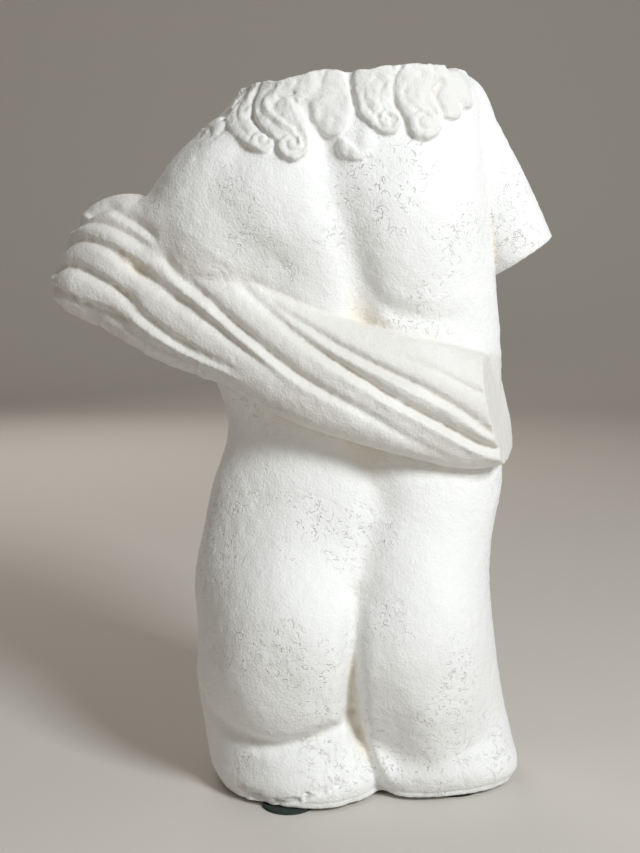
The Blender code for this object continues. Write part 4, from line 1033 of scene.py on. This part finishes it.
def put_back(mesh, points):
    """Writes moved points into the mesh, and gives the new normals."""
    mesh.vertices.foreach_set("co", points.astype(np.float32).ravel())
    mesh.update()
    return read_triples(mesh.vertex_normals, "vector").astype(float)


before = points
ends = ends_of_edges(torso.data)
for centre, radius, passes, kept in SANDED.values():
    points = sanded(points, ends, np.maximum(cloth, hair) * kept, centre, radius, passes)
normals = put_back(torso.data, points)
print("most rubbed off:", round(float(np.linalg.norm(points - before, axis=1).max()) * 1000, 1), "mm")

# %% Carve the folds over the bend
# Depth and half width, then the places (x, z) that each fold round the elbow passes
BEND_FOLDS = {
    "main": (0.0055, 0.0046, [
        (-0.195, 0.547), (-0.185, 0.552), (-0.1759, 0.5537), (-0.1652, 0.5488), (-0.1496, 0.5386),
        (-0.1349, 0.5269), (-0.1257, 0.5154)]),
    "shoulder": (0.0048, 0.004, [
        (-0.213, 0.535), (-0.2025, 0.5395), (-0.1888, 0.5399), (-0.1734, 0.5361), (-0.1587, 0.5288),
        (-0.1442, 0.5199), (-0.1303, 0.511)]),
    "upper": (0.0058, 0.0046, [
        (-0.24, 0.5), (-0.2255, 0.514), (-0.2098, 0.5228), (-0.1926, 0.5218), (-0.1775, 0.5163),
        (-0.1628, 0.5065), (-0.1446, 0.4941), (-0.1261, 0.4809)]),
    "middle": (0.0062, 0.0048, [
        (-0.233, 0.494), (-0.2257, 0.4985), (-0.2127, 0.5), (-0.1962, 0.4939), (-0.1813, 0.486),
        (-0.167, 0.4772), (-0.1537, 0.4665), (-0.1399, 0.4542)]),
    "lower": (0.005, 0.0042, [
        (-0.244, 0.48), (-0.2334, 0.477), (-0.2177, 0.4708), (-0.2076, 0.4637), (-0.1929, 0.4585),
        (-0.1777, 0.4554), (-0.1637, 0.4484), (-0.15, 0.4377)]),
}
BEND_FOLD_END = 0.25  # share of a fold's way over which it runs out at its right end
BEND_FACING = (-0.6, 0)  # how far the skin faces backwards where the folds begin and are full

sunk = np.zeros(len(points))
for depth, half_width, line in BEND_FOLDS.values():
    gap, way = along_line(points[:, 0], points[:, 2], smooth_route(line))
    sunk = np.maximum(sunk, depth * eased(1 - way, 0, BEND_FOLD_END) * valley(gap, half_width))
sunk *= eased(-normals[:, 1], *BEND_FACING)
points -= sunk[:, None] * normals
normals = put_back(torso.data, points)
print("folds over the bend:", len(BEND_FOLDS), "deepest:", (sunk.max() * 1000).round(1), "mm")

# %% [markdown]
# ## The tooth of the surface
#
# Plaster that has been cast, filed and worn is never quite even. Soft swellings of a centimetre or
# more lie under smaller lumps of a few millimetres; the skin swells most, and the hair is roughest.
# Each is smooth noise: a random number at every corner of a lattice of cubes, blended inside each
# cube. It moves the points along their own normals, so it also roughens the outline. A texture with
# a Displace modifier would do as well, but here the same noise makes the break, the crags under the
# elbow and the scars at the foot.

# %% Noise on a lattice
NOISE_VALUES = 4096
LATTICE = (73856093, 19349663, 83492791)  # primes that spread a cube's corner over the values


def unevenness(points, size, seed):
    """Smooth noise from -1 to 1: each point blends the random values of its cube's eight corners,
    with weights eased along x, y and z."""
    cell = np.floor(points / size).astype(np.int64)
    share = eased(points / size - cell, 0, 1)
    values = np.random.default_rng(seed).uniform(-1, 1, NOISE_VALUES)
    total = np.zeros(len(points))
    for corner in np.ndindex(2, 2, 2):
        x, y, z = ((cell + corner) * LATTICE).T
        weight = np.prod(np.where(corner, share, 1 - share), axis=1)
        total += weight * values[(x ^ y ^ z) % NOISE_VALUES]
    return total


print("noise at the first points:", unevenness(points[:3], 0.01, 1).round(3))

# %% Roughen the surface
# Size of the lumps, then how high they are on skin, on cloth and on hair
LUMPS = [
    (0.026, 0.00050, 0.00020, 0.00035),
    (0.011, 0.00026, 0.00022, 0.00050),
    (0.0058, 0.00026, 0.00030, 0.00070),
    (0.0034, 0.00026, 0.00030, 0.00060),
]
BREAK_ROUGHNESS = [(0.012, 0.0012), (0.006, 0.0009), (0.003, 0.0005)]  # size and height of the lumps
UNDERSIDE_CRAGS = [(0.014, 0.0030), (0.006, 0.0016)]  # size and depth
CRAGS_FROM = (0.050, 0.090)  # how far left the rough underside begins, under the upper arm
CRAGS_FACING = (0.25, 0.7)  # how far the cloth faces downwards where the crags begin and are full
BREAK_SEED, CRAG_SEED, WEAR_SEED = 20, 30, 40

relief = np.zeros(len(points))
for number, (size, on_skin, on_cloth, on_hair) in enumerate(LUMPS):
    height = on_skin + (on_cloth - on_skin) * cloth
    height += (on_hair - height) * hair
    relief += height * unevenness(points, size, number)
for number, (size, height) in enumerate(BREAK_ROUGHNESS):
    relief += broken * height * unevenness(points, size, BREAK_SEED + number)
under = cloth * eased(-normals[:, 2], *CRAGS_FACING) * eased(-points[:, 0], *CRAGS_FROM)
for number, (size, depth) in enumerate(UNDERSIDE_CRAGS):
    relief -= under * depth * np.abs(unevenness(points, size, CRAG_SEED + number))
print("relief from", (relief.min() * 1000).round(2), "to", (relief.max() * 1000).round(2), "mm")

# %% Add the marks of wear
# Depth, softness of the edge and roughness of each mark, then (x, z, half width) along it
WEAR = {
    "gouge at the foot": (0.005, 0.0014, 0.0026, [
        (-0.059, 0.0155, 0.003), (-0.049, 0.0115, 0.0058), (-0.037, 0.0055, 0.004)]),
    "scar at the foot": (0.002, 0.002, 0.0028, [
        (-0.022, 0.007, 0.004), (-0.002, 0.014, 0.005), (0.026, 0.023, 0.0045), (0.046, 0.029, 0.003)]),
    "seam at the foot": (0.0007, 0.0012, 0.0, [
        (0.138, 0.061, 0.0013), (0.146, 0.037, 0.0013), (0.154, 0.011, 0.0013)]),
    "crack in the cloth": (0.0018, 0.0011, 0.0, [
        (-0.074, 0.497, 0.001), (-0.069, 0.491, 0.0014), (-0.066, 0.482, 0.0009)]),
    "flaw in the cloth": (0.0007, 0.0011, 0.0003, [
        (-0.083, 0.491, 0.0011), (-0.076, 0.502, 0.0011), (-0.065, 0.494, 0.0011), (-0.067, 0.48, 0.0011),
        (-0.08, 0.478, 0.0011), (-0.083, 0.491, 0.0011)]),
    "line under the folds": (0.0007, 0.0011, 0.0, [
        (-0.045, 0.386, 0.0011), (-0.032, 0.379, 0.0012), (-0.014, 0.373, 0.001)]),
}
WEAR_GRAIN = 0.004  # size of the lumps in a mark
WEAR_FACING = (0.1, 0.4)  # how far the skin faces backwards where marks begin and are full
LIP_HEIGHT, LIP_WIDTH, LIP_DEPTH = 0.0052, 0.0011, 0.0007  # the fine groove round the foot

behind = eased(-normals[:, 1], *WEAR_FACING) * (points[:, 1] < SIDE_LINE_Y)
for depth, softness, roughness, places in WEAR.values():
    worn = behind * eased(inside_mark(points[:, 0], points[:, 2], places), 0, softness)
    relief -= worn * (depth + roughness * unevenness(points, WEAR_GRAIN, WEAR_SEED))
relief -= LIP_DEPTH * np.exp(-(((points[:, 2] - SOLE - LIP_HEIGHT) / LIP_WIDTH) ** 2))
put_back(torso.data, points + relief[:, None] * normals)
print("deepest mark:", (-relief.min() * 1000).round(2), "mm")

# %% [markdown]
# ## Thin the mesh and fit it
#
# The fused skin has several times as many triangles as are worth keeping, and most lie on smooth
# skin. Decimate merges the edges that change the shape least, so the locks and folds keep the most.
# It leaves a few triangles folded back on their neighbours, which would show as dark slits, so these
# are smoothed. The finished cast then stands for the frame's plain torso, and it is fitted to that
# one's box, so that no size changes.

# %% Thin the mesh
TRIANGLES = 196000
FOLDED_BACK = 0.6  # how little a face may face the way its corners do
MENDS, MEND_PASSES = 5, 4  # times that such faces are looked for, and passes of smoothing each time
EVERYWHERE = 10  # a radius that takes in the whole work


def folded_back(mesh):
    """1 at and beside the corners of triangles that face much another way than the surface there."""
    mesh.calc_loop_triangles()
    faces = read_triples(mesh.loop_triangles, "vertices", np.int32)
    points, normals = points_and_normals(mesh)
    first, second, third = points[faces.T]
    facing = unit(np.cross(second - first, third - first))
    worst = (facing[:, None] * normals[faces]).sum(axis=2).min(axis=1)
    folded = np.zeros(len(points))
    folded[faces[worst < FOLDED_BACK]] = 1
    grown = folded.copy()
    starts, stops = ends_of_edges(mesh).T
    np.maximum.at(grown, starts, folded[stops])
    np.maximum.at(grown, stops, folded[starts])
    return grown


thin = torso.modifiers.new("thin", "DECIMATE")
thin.ratio = TRIANGLES / (2 * len(torso.data.polygons))
settle(torso)
points, _ = points_and_normals(torso.data)
for _ in range(MENDS):
    sound, centre = 1 - folded_back(torso.data), points.mean(axis=0)
    points = sanded(points, ends_of_edges(torso.data), sound, centre, EVERYWHERE, MEND_PASSES)
    put_back(torso.data, points)
    print("corners at and beside folded faces:", int((1 - sound).sum()))

# %% Fit it, and let it stand for the plain torso
low, high = (np.array(corner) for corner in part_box("torso"))
found_low, found_high = points.min(axis=0), points.max(axis=0)
scale = (high - low) / (found_high - found_low)
put_back(torso.data, low + (points - found_low) * scale)
torso.data.shade_smooth()
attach(torso, "root")
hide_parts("torso")
torso.data.calc_loop_triangles()
print("triangles:", len(torso.data.loop_triangles), "stretched by", scale.round(4))

# %% [markdown]
# ## Where the finish changes
#
# Hollows get painted shade: the narrow creases are darkened, and the wide hollows get a weak warm
# painted shade. How hollow a place is can be read from the mesh: at each point, the neighbours stand
# above or below its tangent plane. Spread over a few rings of neighbours, this becomes a number that
# the finish reads as an attribute. Spread much further, it picks out the wide hollows. The masks of
# cloth and hair are attributes too.

# %% Hollows, cloth and hair as attributes
HOLLOW_STEPS, BROAD_STEPS = 8, 90  # rings of neighbours over which each kind of hollow is spread
BROADEST = 99  # percentile of the wide hollows that counts as 1
# The cloth's smooth upper part, which blends into the back: (x, z, half width) along it
CLOTH_ON_BACK = [
    (-0.15, 0.546, 0.014), (-0.129, 0.533, 0.014), (-0.11, 0.52, 0.014), (-0.092, 0.507, 0.014),
    (-0.0745, 0.495, 0.014), (-0.057, 0.4865, 0.014),
]
CLOTH_ON_BACK_EDGE = 0.004


def spread(values, ends, times):
    """Each point's value becomes half its own and half the mean of its neighbours', repeatedly."""
    count = neighbour_counts(ends, len(values))
    for _ in range(times):
        values = (values + neighbour_sums(values, ends) / count) / 2
    return values


def hollows(mesh, ends):
    """How far neighbours stand above each point's tangent plane, per unit of distance."""
    points, normals = points_and_normals(mesh)
    first, second = ends.T
    step = points[second] - points[first]
    length = np.linalg.norm(step, axis=1)
    total = np.bincount(first, (step * normals[first]).sum(axis=1) / length, len(points))
    total = total + np.bincount(second, -(step * normals[second]).sum(axis=1) / length, len(points))
    return total / neighbour_counts(ends, len(points))


def add_attribute(mesh, name, values):
    attribute = mesh.attributes.new(name, "FLOAT", "POINT")
    attribute.data.foreach_set("value", np.asarray(values, np.float32))


ends = ends_of_edges(torso.data)
hollow = spread(hollows(torso.data, ends), ends, HOLLOW_STEPS)
broad = spread(hollow, ends, BROAD_STEPS)
points = read_triples(torso.data.vertices, "co") - SHIFT
on_back = eased(inside_mark(points[:, 0], points[:, 2], CLOTH_ON_BACK), 0, CLOTH_ON_BACK_EDGE)
on_back *= points[:, 1] < SIDE_LINE_Y
add_attribute(torso.data, "hollow", hollow)
add_attribute(torso.data, "broad hollow", broad / np.percentile(broad, BROADEST))
add_attribute(torso.data, "cloth", np.maximum(cloth_mask(points), on_back))
add_attribute(torso.data, "hair", hair_mask(points))
print("hollow from", hollow.min().round(3), "to", hollow.max().round(3))

# %% [markdown]
# ## Plaster
#
# Casting plaster is a soft white, matt and very slightly grainy. Grain a millimetre or two across
# covers it all, and here and there lie short worm-shaped flecks, where air was trapped against the
# mould. Each is a shader group that puts out a height or a mask, so that a material can use it at
# its own size. The grain goes on everything, and the flecks go on bare skin only.

# %% Helpers for node trees
def new_group(name, inputs, output):
    """A shader group with named number inputs (name: value), and one number output."""
    tree = bpy.data.node_groups.new(name, "ShaderNodeTree")
    tree.interface.new_socket("Place", in_out="INPUT", socket_type="NodeSocketVector")
    for label, value in inputs.items():
        socket = tree.interface.new_socket(label, in_out="INPUT", socket_type="NodeSocketFloat")
        socket.default_value = value
    tree.interface.new_socket(output, in_out="OUTPUT", socket_type="NodeSocketFloat")
    return tree, tree.nodes.new("NodeGroupInput").outputs, tree.nodes.new("NodeGroupOutput").inputs[output]


def feed(tree, value, socket):
    """Links a node's output to a socket, or sets the socket to a plain value."""
    if isinstance(value, bpy.types.NodeSocket):
        tree.links.new(value, socket)
    else:
        socket.default_value = value


def node(tree, kind, settings=(), **inputs):
    """Adds a node, applies its settings, and sets or links each input, given by name or number."""
    made = tree.nodes.new(kind)
    for label, value in dict(settings).items():
        setattr(made, label, value)
    for label, value in inputs.items():
        number = label[1:]
        feed(tree, value, made.inputs[int(number) if number.isdigit() else label.replace("_", " ")])
    return made


def sums(tree, operation, first, second):
    return node(tree, "ShaderNodeMath", {"operation": operation}, _0=first, _1=second).outputs[0]


def between(tree, value, low, high, start=0.0, end=1.0):
    """start up to low, end from high, and a smooth step between them."""
    settings = {"interpolation_type": "SMOOTHSTEP", "clamp": True}
    made = node(tree, "ShaderNodeMapRange", settings, _0=value, _1=low, _2=high, _3=start, _4=end)
    return made.outputs[0]


def noise(tree, place, scale, detail=2.0, roughness=0.5, distortion=0.0):
    made = node(tree, "ShaderNodeTexNoise", (), Vector=place, Scale=scale, Detail=detail)
    made.inputs["Roughness"].default_value = roughness
    made.inputs["Distortion"].default_value = distortion
    return made.outputs[0]


def blend(tree, share, first, second):
    """The first colour where the share is 0, the second where it is 1."""
    made = node(tree, "ShaderNodeMix", {"data_type": "RGBA"}, _0=share, _6=first, _7=second)
    return made.outputs[2]


def attribute(tree, name):
    return node(tree, "ShaderNodeAttribute", {"attribute_name": name}).outputs["Fac"]


def new_material(name):
    """A new material, its node tree and its shader."""
    material = bpy.data.materials.new(name)
    material.use_nodes = True
    return material, material.node_tree, material.node_tree.nodes["Principled BSDF"]


# %% Grain and flecks as groups
COARSE_GRAIN, FINE_SHARE = 0.28, 0.65  # scale of the coarse grain, and share of the fine in the height
FLECK_WINDING, FLECK_LINE = 1.2, (0.008, 0.030)  # how much a fleck winds, and where its line ends
FLECK_GAPS, FLECK_GAP_SCALE = (0.50, 0.58), 1.7
FLECK_PATCHES, FLECK_PATCH_EDGE = 0.12, 0.15  # scale of the flecked patches, softness of their edge

grain, entry, height = new_group("plaster grain", {"Size": 0.0016}, "Height")
per_metre = sums(grain, "DIVIDE", 1.0, entry["Size"])
fine = noise(grain, entry["Place"], per_metre, 3.0, 0.6)
coarse = noise(grain, entry["Place"], sums(grain, "MULTIPLY", per_metre, COARSE_GRAIN))
fine, coarse = sums(grain, "MULTIPLY", fine, FINE_SHARE), sums(grain, "MULTIPLY", coarse, 1 - FINE_SHARE)
feed(grain, sums(grain, "ADD", fine, coarse), height)

flecks, entry, mask = new_group("worm flecks", {"Size": 0.006, "Cover": 0.5}, "Mask")
per_metre = sums(flecks, "DIVIDE", 1.0, entry["Size"])
winding = noise(flecks, entry["Place"], per_metre, 1.0, 0.5, FLECK_WINDING)
off_line = sums(flecks, "ABSOLUTE", sums(flecks, "SUBTRACT", winding, 0.5), 0.0)
line = between(flecks, off_line, *FLECK_LINE, 1.0, 0.0)
broken_up = noise(flecks, entry["Place"], sums(flecks, "MULTIPLY", per_metre, FLECK_GAP_SCALE), 1.0)
short = sums(flecks, "MULTIPLY", line, between(flecks, broken_up, *FLECK_GAPS))
spots = noise(flecks, entry["Place"], sums(flecks, "MULTIPLY", per_metre, FLECK_PATCHES))
edge = sums(flecks, "SUBTRACT", 1.0, entry["Cover"])
patches = between(flecks, spots, edge, sums(flecks, "ADD", edge, FLECK_PATCH_EDGE))
feed(flecks, sums(flecks, "MULTIPLY", short, patches), mask)
print("groups:", [tree.name for tree in bpy.data.node_groups])

# %% The plaster material
SKIN = (0.86, 0.862, 0.85, 1)
CLOTH = (0.75, 0.735, 0.70, 1)
HAIR = (0.76, 0.755, 0.73, 1)
# Colour of the painted shade in narrow creases and hollows, and in the pits of the flecks
PAINTED_SHADE = (0.60, 0.55, 0.47, 1)
# Colour of the weak warm painted shade in the wide hollows
WARM_PAINTED_SHADE = (0.86, 0.79, 0.66, 1)
PALE = (0.93, 0.93, 0.92, 1)
CLOUDS = 14.0  # pale clouds to the metre
# The flecks are real pits, sunk by the bump; their darker colour is painted shade in the pits
FLECK_COLOUR, FLECK_DEPTH = 0.13, 0.9  # how much the flecks darken the colour, and sink in the grain
ROUGHNESS = (0.3, 0.7, 0.72, 0.88)  # the clouds' low and high, and the roughness there

plaster, tree, shader = new_material("cast plaster")
place = node(tree, "ShaderNodeTexCoord").outputs["Object"]
soft_forms = sums(tree, "MAXIMUM", attribute(tree, "cloth"), attribute(tree, "hair"))
grain_node = node(tree, "ShaderNodeGroup", {"node_tree": grain}, Place=place, Size=0.0024)
fleck_node = node(tree, "ShaderNodeGroup", {"node_tree": flecks}, Place=place, Size=0.0095, Cover=0.52)
on_skin = sums(tree, "SUBTRACT", 1.0, soft_forms)
skin_flecks = sums(tree, "MULTIPLY", fleck_node.outputs["Mask"], on_skin)
cloudy = noise(tree, place, CLOUDS, 3.0)
colour = SKIN
# Each tint's share over what lies under it; between() says where its mask starts and is full
for share, tint in (
    (attribute(tree, "cloth"), CLOTH),
    (attribute(tree, "hair"), HAIR),
    (between(tree, cloudy, 0.45, 0.75, 0.0, 0.5), PALE),
    # Painted shade: a weak warm tint in the wide hollows
    (between(tree, attribute(tree, "broad hollow"), 0.3, 1.1, 0.0, 0.5), WARM_PAINTED_SHADE),
    # Painted shade: darker in the narrow creases and hollows
    (between(tree, attribute(tree, "hollow"), 0.015, 0.15, 0.0, 0.65), PAINTED_SHADE),
    # Painted shade in the pits of the flecks on bare skin
    (sums(tree, "MULTIPLY", skin_flecks, FLECK_COLOUR), PAINTED_SHADE),
):
    colour = blend(tree, share, colour, tint)
sunk = sums(tree, "MULTIPLY", skin_flecks, FLECK_DEPTH)
depth = sums(tree, "SUBTRACT", grain_node.outputs["Height"], sunk)
bump = node(tree, "ShaderNodeBump", (), Strength=0.7, Distance=0.0018, Height=depth)
feed(tree, colour, shader.inputs["Base Color"])
feed(tree, between(tree, cloudy, *ROUGHNESS), shader.inputs["Roughness"])
feed(tree, bump.outputs["Normal"], shader.inputs["Normal"])
torso.data.materials.clear()
torso.data.materials.append(plaster)
print("plaster nodes:", len(tree.nodes))

# %% [markdown]
# ## The pads
#
# Four dark felt pads lift the cast off the shelf. Their shape in the frame is right, so they stay,
# and only get a fibrous finish.

# %% Felt
DARK_FIBRE, PALE_FIBRE = (0.010, 0.018, 0.015, 1), (0.035, 0.055, 0.045, 1)
FIBRES = (900.0, 4.0, 0.7, 0.6)  # fibres to the metre, then their detail, roughness and winding
PADS = ("pad_rear_left", "pad_rear_right", "pad_front_left", "pad_front_right")

felt, tree, shader = new_material("dark felt")
fibres = noise(tree, node(tree, "ShaderNodeTexCoord").outputs["Object"], *FIBRES)
bump = node(tree, "ShaderNodeBump", (), Strength=0.6, Distance=0.0006, Height=fibres)
feed(tree, blend(tree, fibres, DARK_FIBRE, PALE_FIBRE), shader.inputs["Base Color"])
feed(tree, bump.outputs["Normal"], shader.inputs["Normal"])
shader.inputs["Roughness"].default_value = 0.95
for name in PADS:
    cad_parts[name].data.materials.clear()
    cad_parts[name].data.materials.append(felt)
print("pads dressed:", len(PADS))

# %% [markdown]
# ## Floor, light and camera
#
# A pale floor that curves up into a pale wall, a soft window light from the upper right, a weaker
# and broader one from the far side on the left, and a little light from all round. The camera stands
# behind the figure, a step away, and looks slightly down.

# %% Floor
FLOOR_HALF_WIDTH, FLOOR_FRONT, FLOOR_BACK, WALL_HEIGHT = 6.0, -5.0, 3.0, 5.0
BEND, BEND_STEPS = 1.2, 24  # radius of the bend between floor and wall, and points round it
PAPER = (0.62, 0.59, 0.54, 1)

turn = np.linspace(0, np.pi / 2, BEND_STEPS)
profile = np.concatenate([
    [(FLOOR_FRONT, 0.0)],
    np.stack([FLOOR_BACK + BEND * np.sin(turn), BEND * (1 - np.cos(turn))], axis=1),
    [(FLOOR_BACK + BEND, WALL_HEIGHT)],
])
sides = np.array([-FLOOR_HALF_WIDTH, FLOOR_HALF_WIDTH])
points = np.stack(np.broadcast_arrays(sides[None, :], profile[:, :1], profile[:, 1:]), axis=-1)
floor = add_object("floor", mesh_of("floor", points.reshape(-1, 3), sheet_faces(*points.shape[:2])[1]))
floor.data.shade_smooth()
paper, tree, shader = new_material("floor paper")
shader.inputs["Base Color"].default_value = PAPER
shader.inputs["Roughness"].default_value = 0.9
floor.data.materials.append(paper)
print("points in the floor:", points.shape[:2])

# %% Light
# Place, size, watts and colour of each lamp
LAMPS = {
    "window": ((1.5, -1.9, 1.8), 0.7, 68, (0.93, 0.97, 1.0)),
    "far side": ((-0.8, 2.4, 1.6), 1.6, 17, (1.0, 0.97, 0.93)),
}
ALL_ROUND, ALL_ROUND_STRENGTH = (1.0, 0.93, 0.84, 1), 0.245
middle = (np.array(cad_box[0]) + np.array(cad_box[1])) / 2

for name, (place, size, watts, colour) in LAMPS.items():
    light = bpy.data.lights.new(name, "AREA")
    light.shape, light.size, light.energy, light.color = "SQUARE", size, watts, colour
    lamp = add_object(name, light)
    lamp.location = place
    towards = lamp.location.copy() - type(lamp.location)(middle)
    lamp.rotation_euler = towards.to_track_quat("Z", "Y").to_euler()
world = bpy.data.worlds.new("studio")
world.use_nodes = True
background = world.node_tree.nodes["Background"].inputs
background["Color"].default_value = ALL_ROUND
background["Strength"].default_value = ALL_ROUND_STRENGTH
bpy.context.scene.world = world
bpy.context.scene.view_settings.view_transform = "Standard"
print("lamps:", list(LAMPS))

# %% Camera
LENS_MM, FILM_MM = 56.6, 36.0
CAMERA_PLACE = np.array([0.0167, -1.27, 0.5137]) + SHIFT
CAMERA_DOWN = 7.5  # degrees below level
NEAREST_SEEN = 0.05  # anything nearer to the camera is left out

camera_data = bpy.data.cameras.new("camera")
camera_data.lens, camera_data.sensor_width, camera_data.sensor_height = LENS_MM, FILM_MM, FILM_MM
camera_data.sensor_fit = "VERTICAL"
camera_data.clip_start = NEAREST_SEEN
camera = add_object("camera", camera_data)
camera.location = CAMERA_PLACE
camera.rotation_euler = (np.radians(90 - CAMERA_DOWN), 0, 0)
bpy.context.scene.camera = camera
print("camera at", CAMERA_PLACE.round(4))

# %% [markdown]
# ## The end
#
# The dressed work has to keep the frame's size, which the fit to the frame's box gives it. Last, the scene
# is brought up to date.

# %% Bring the scene up to date and finish
bpy.context.view_layer.update()
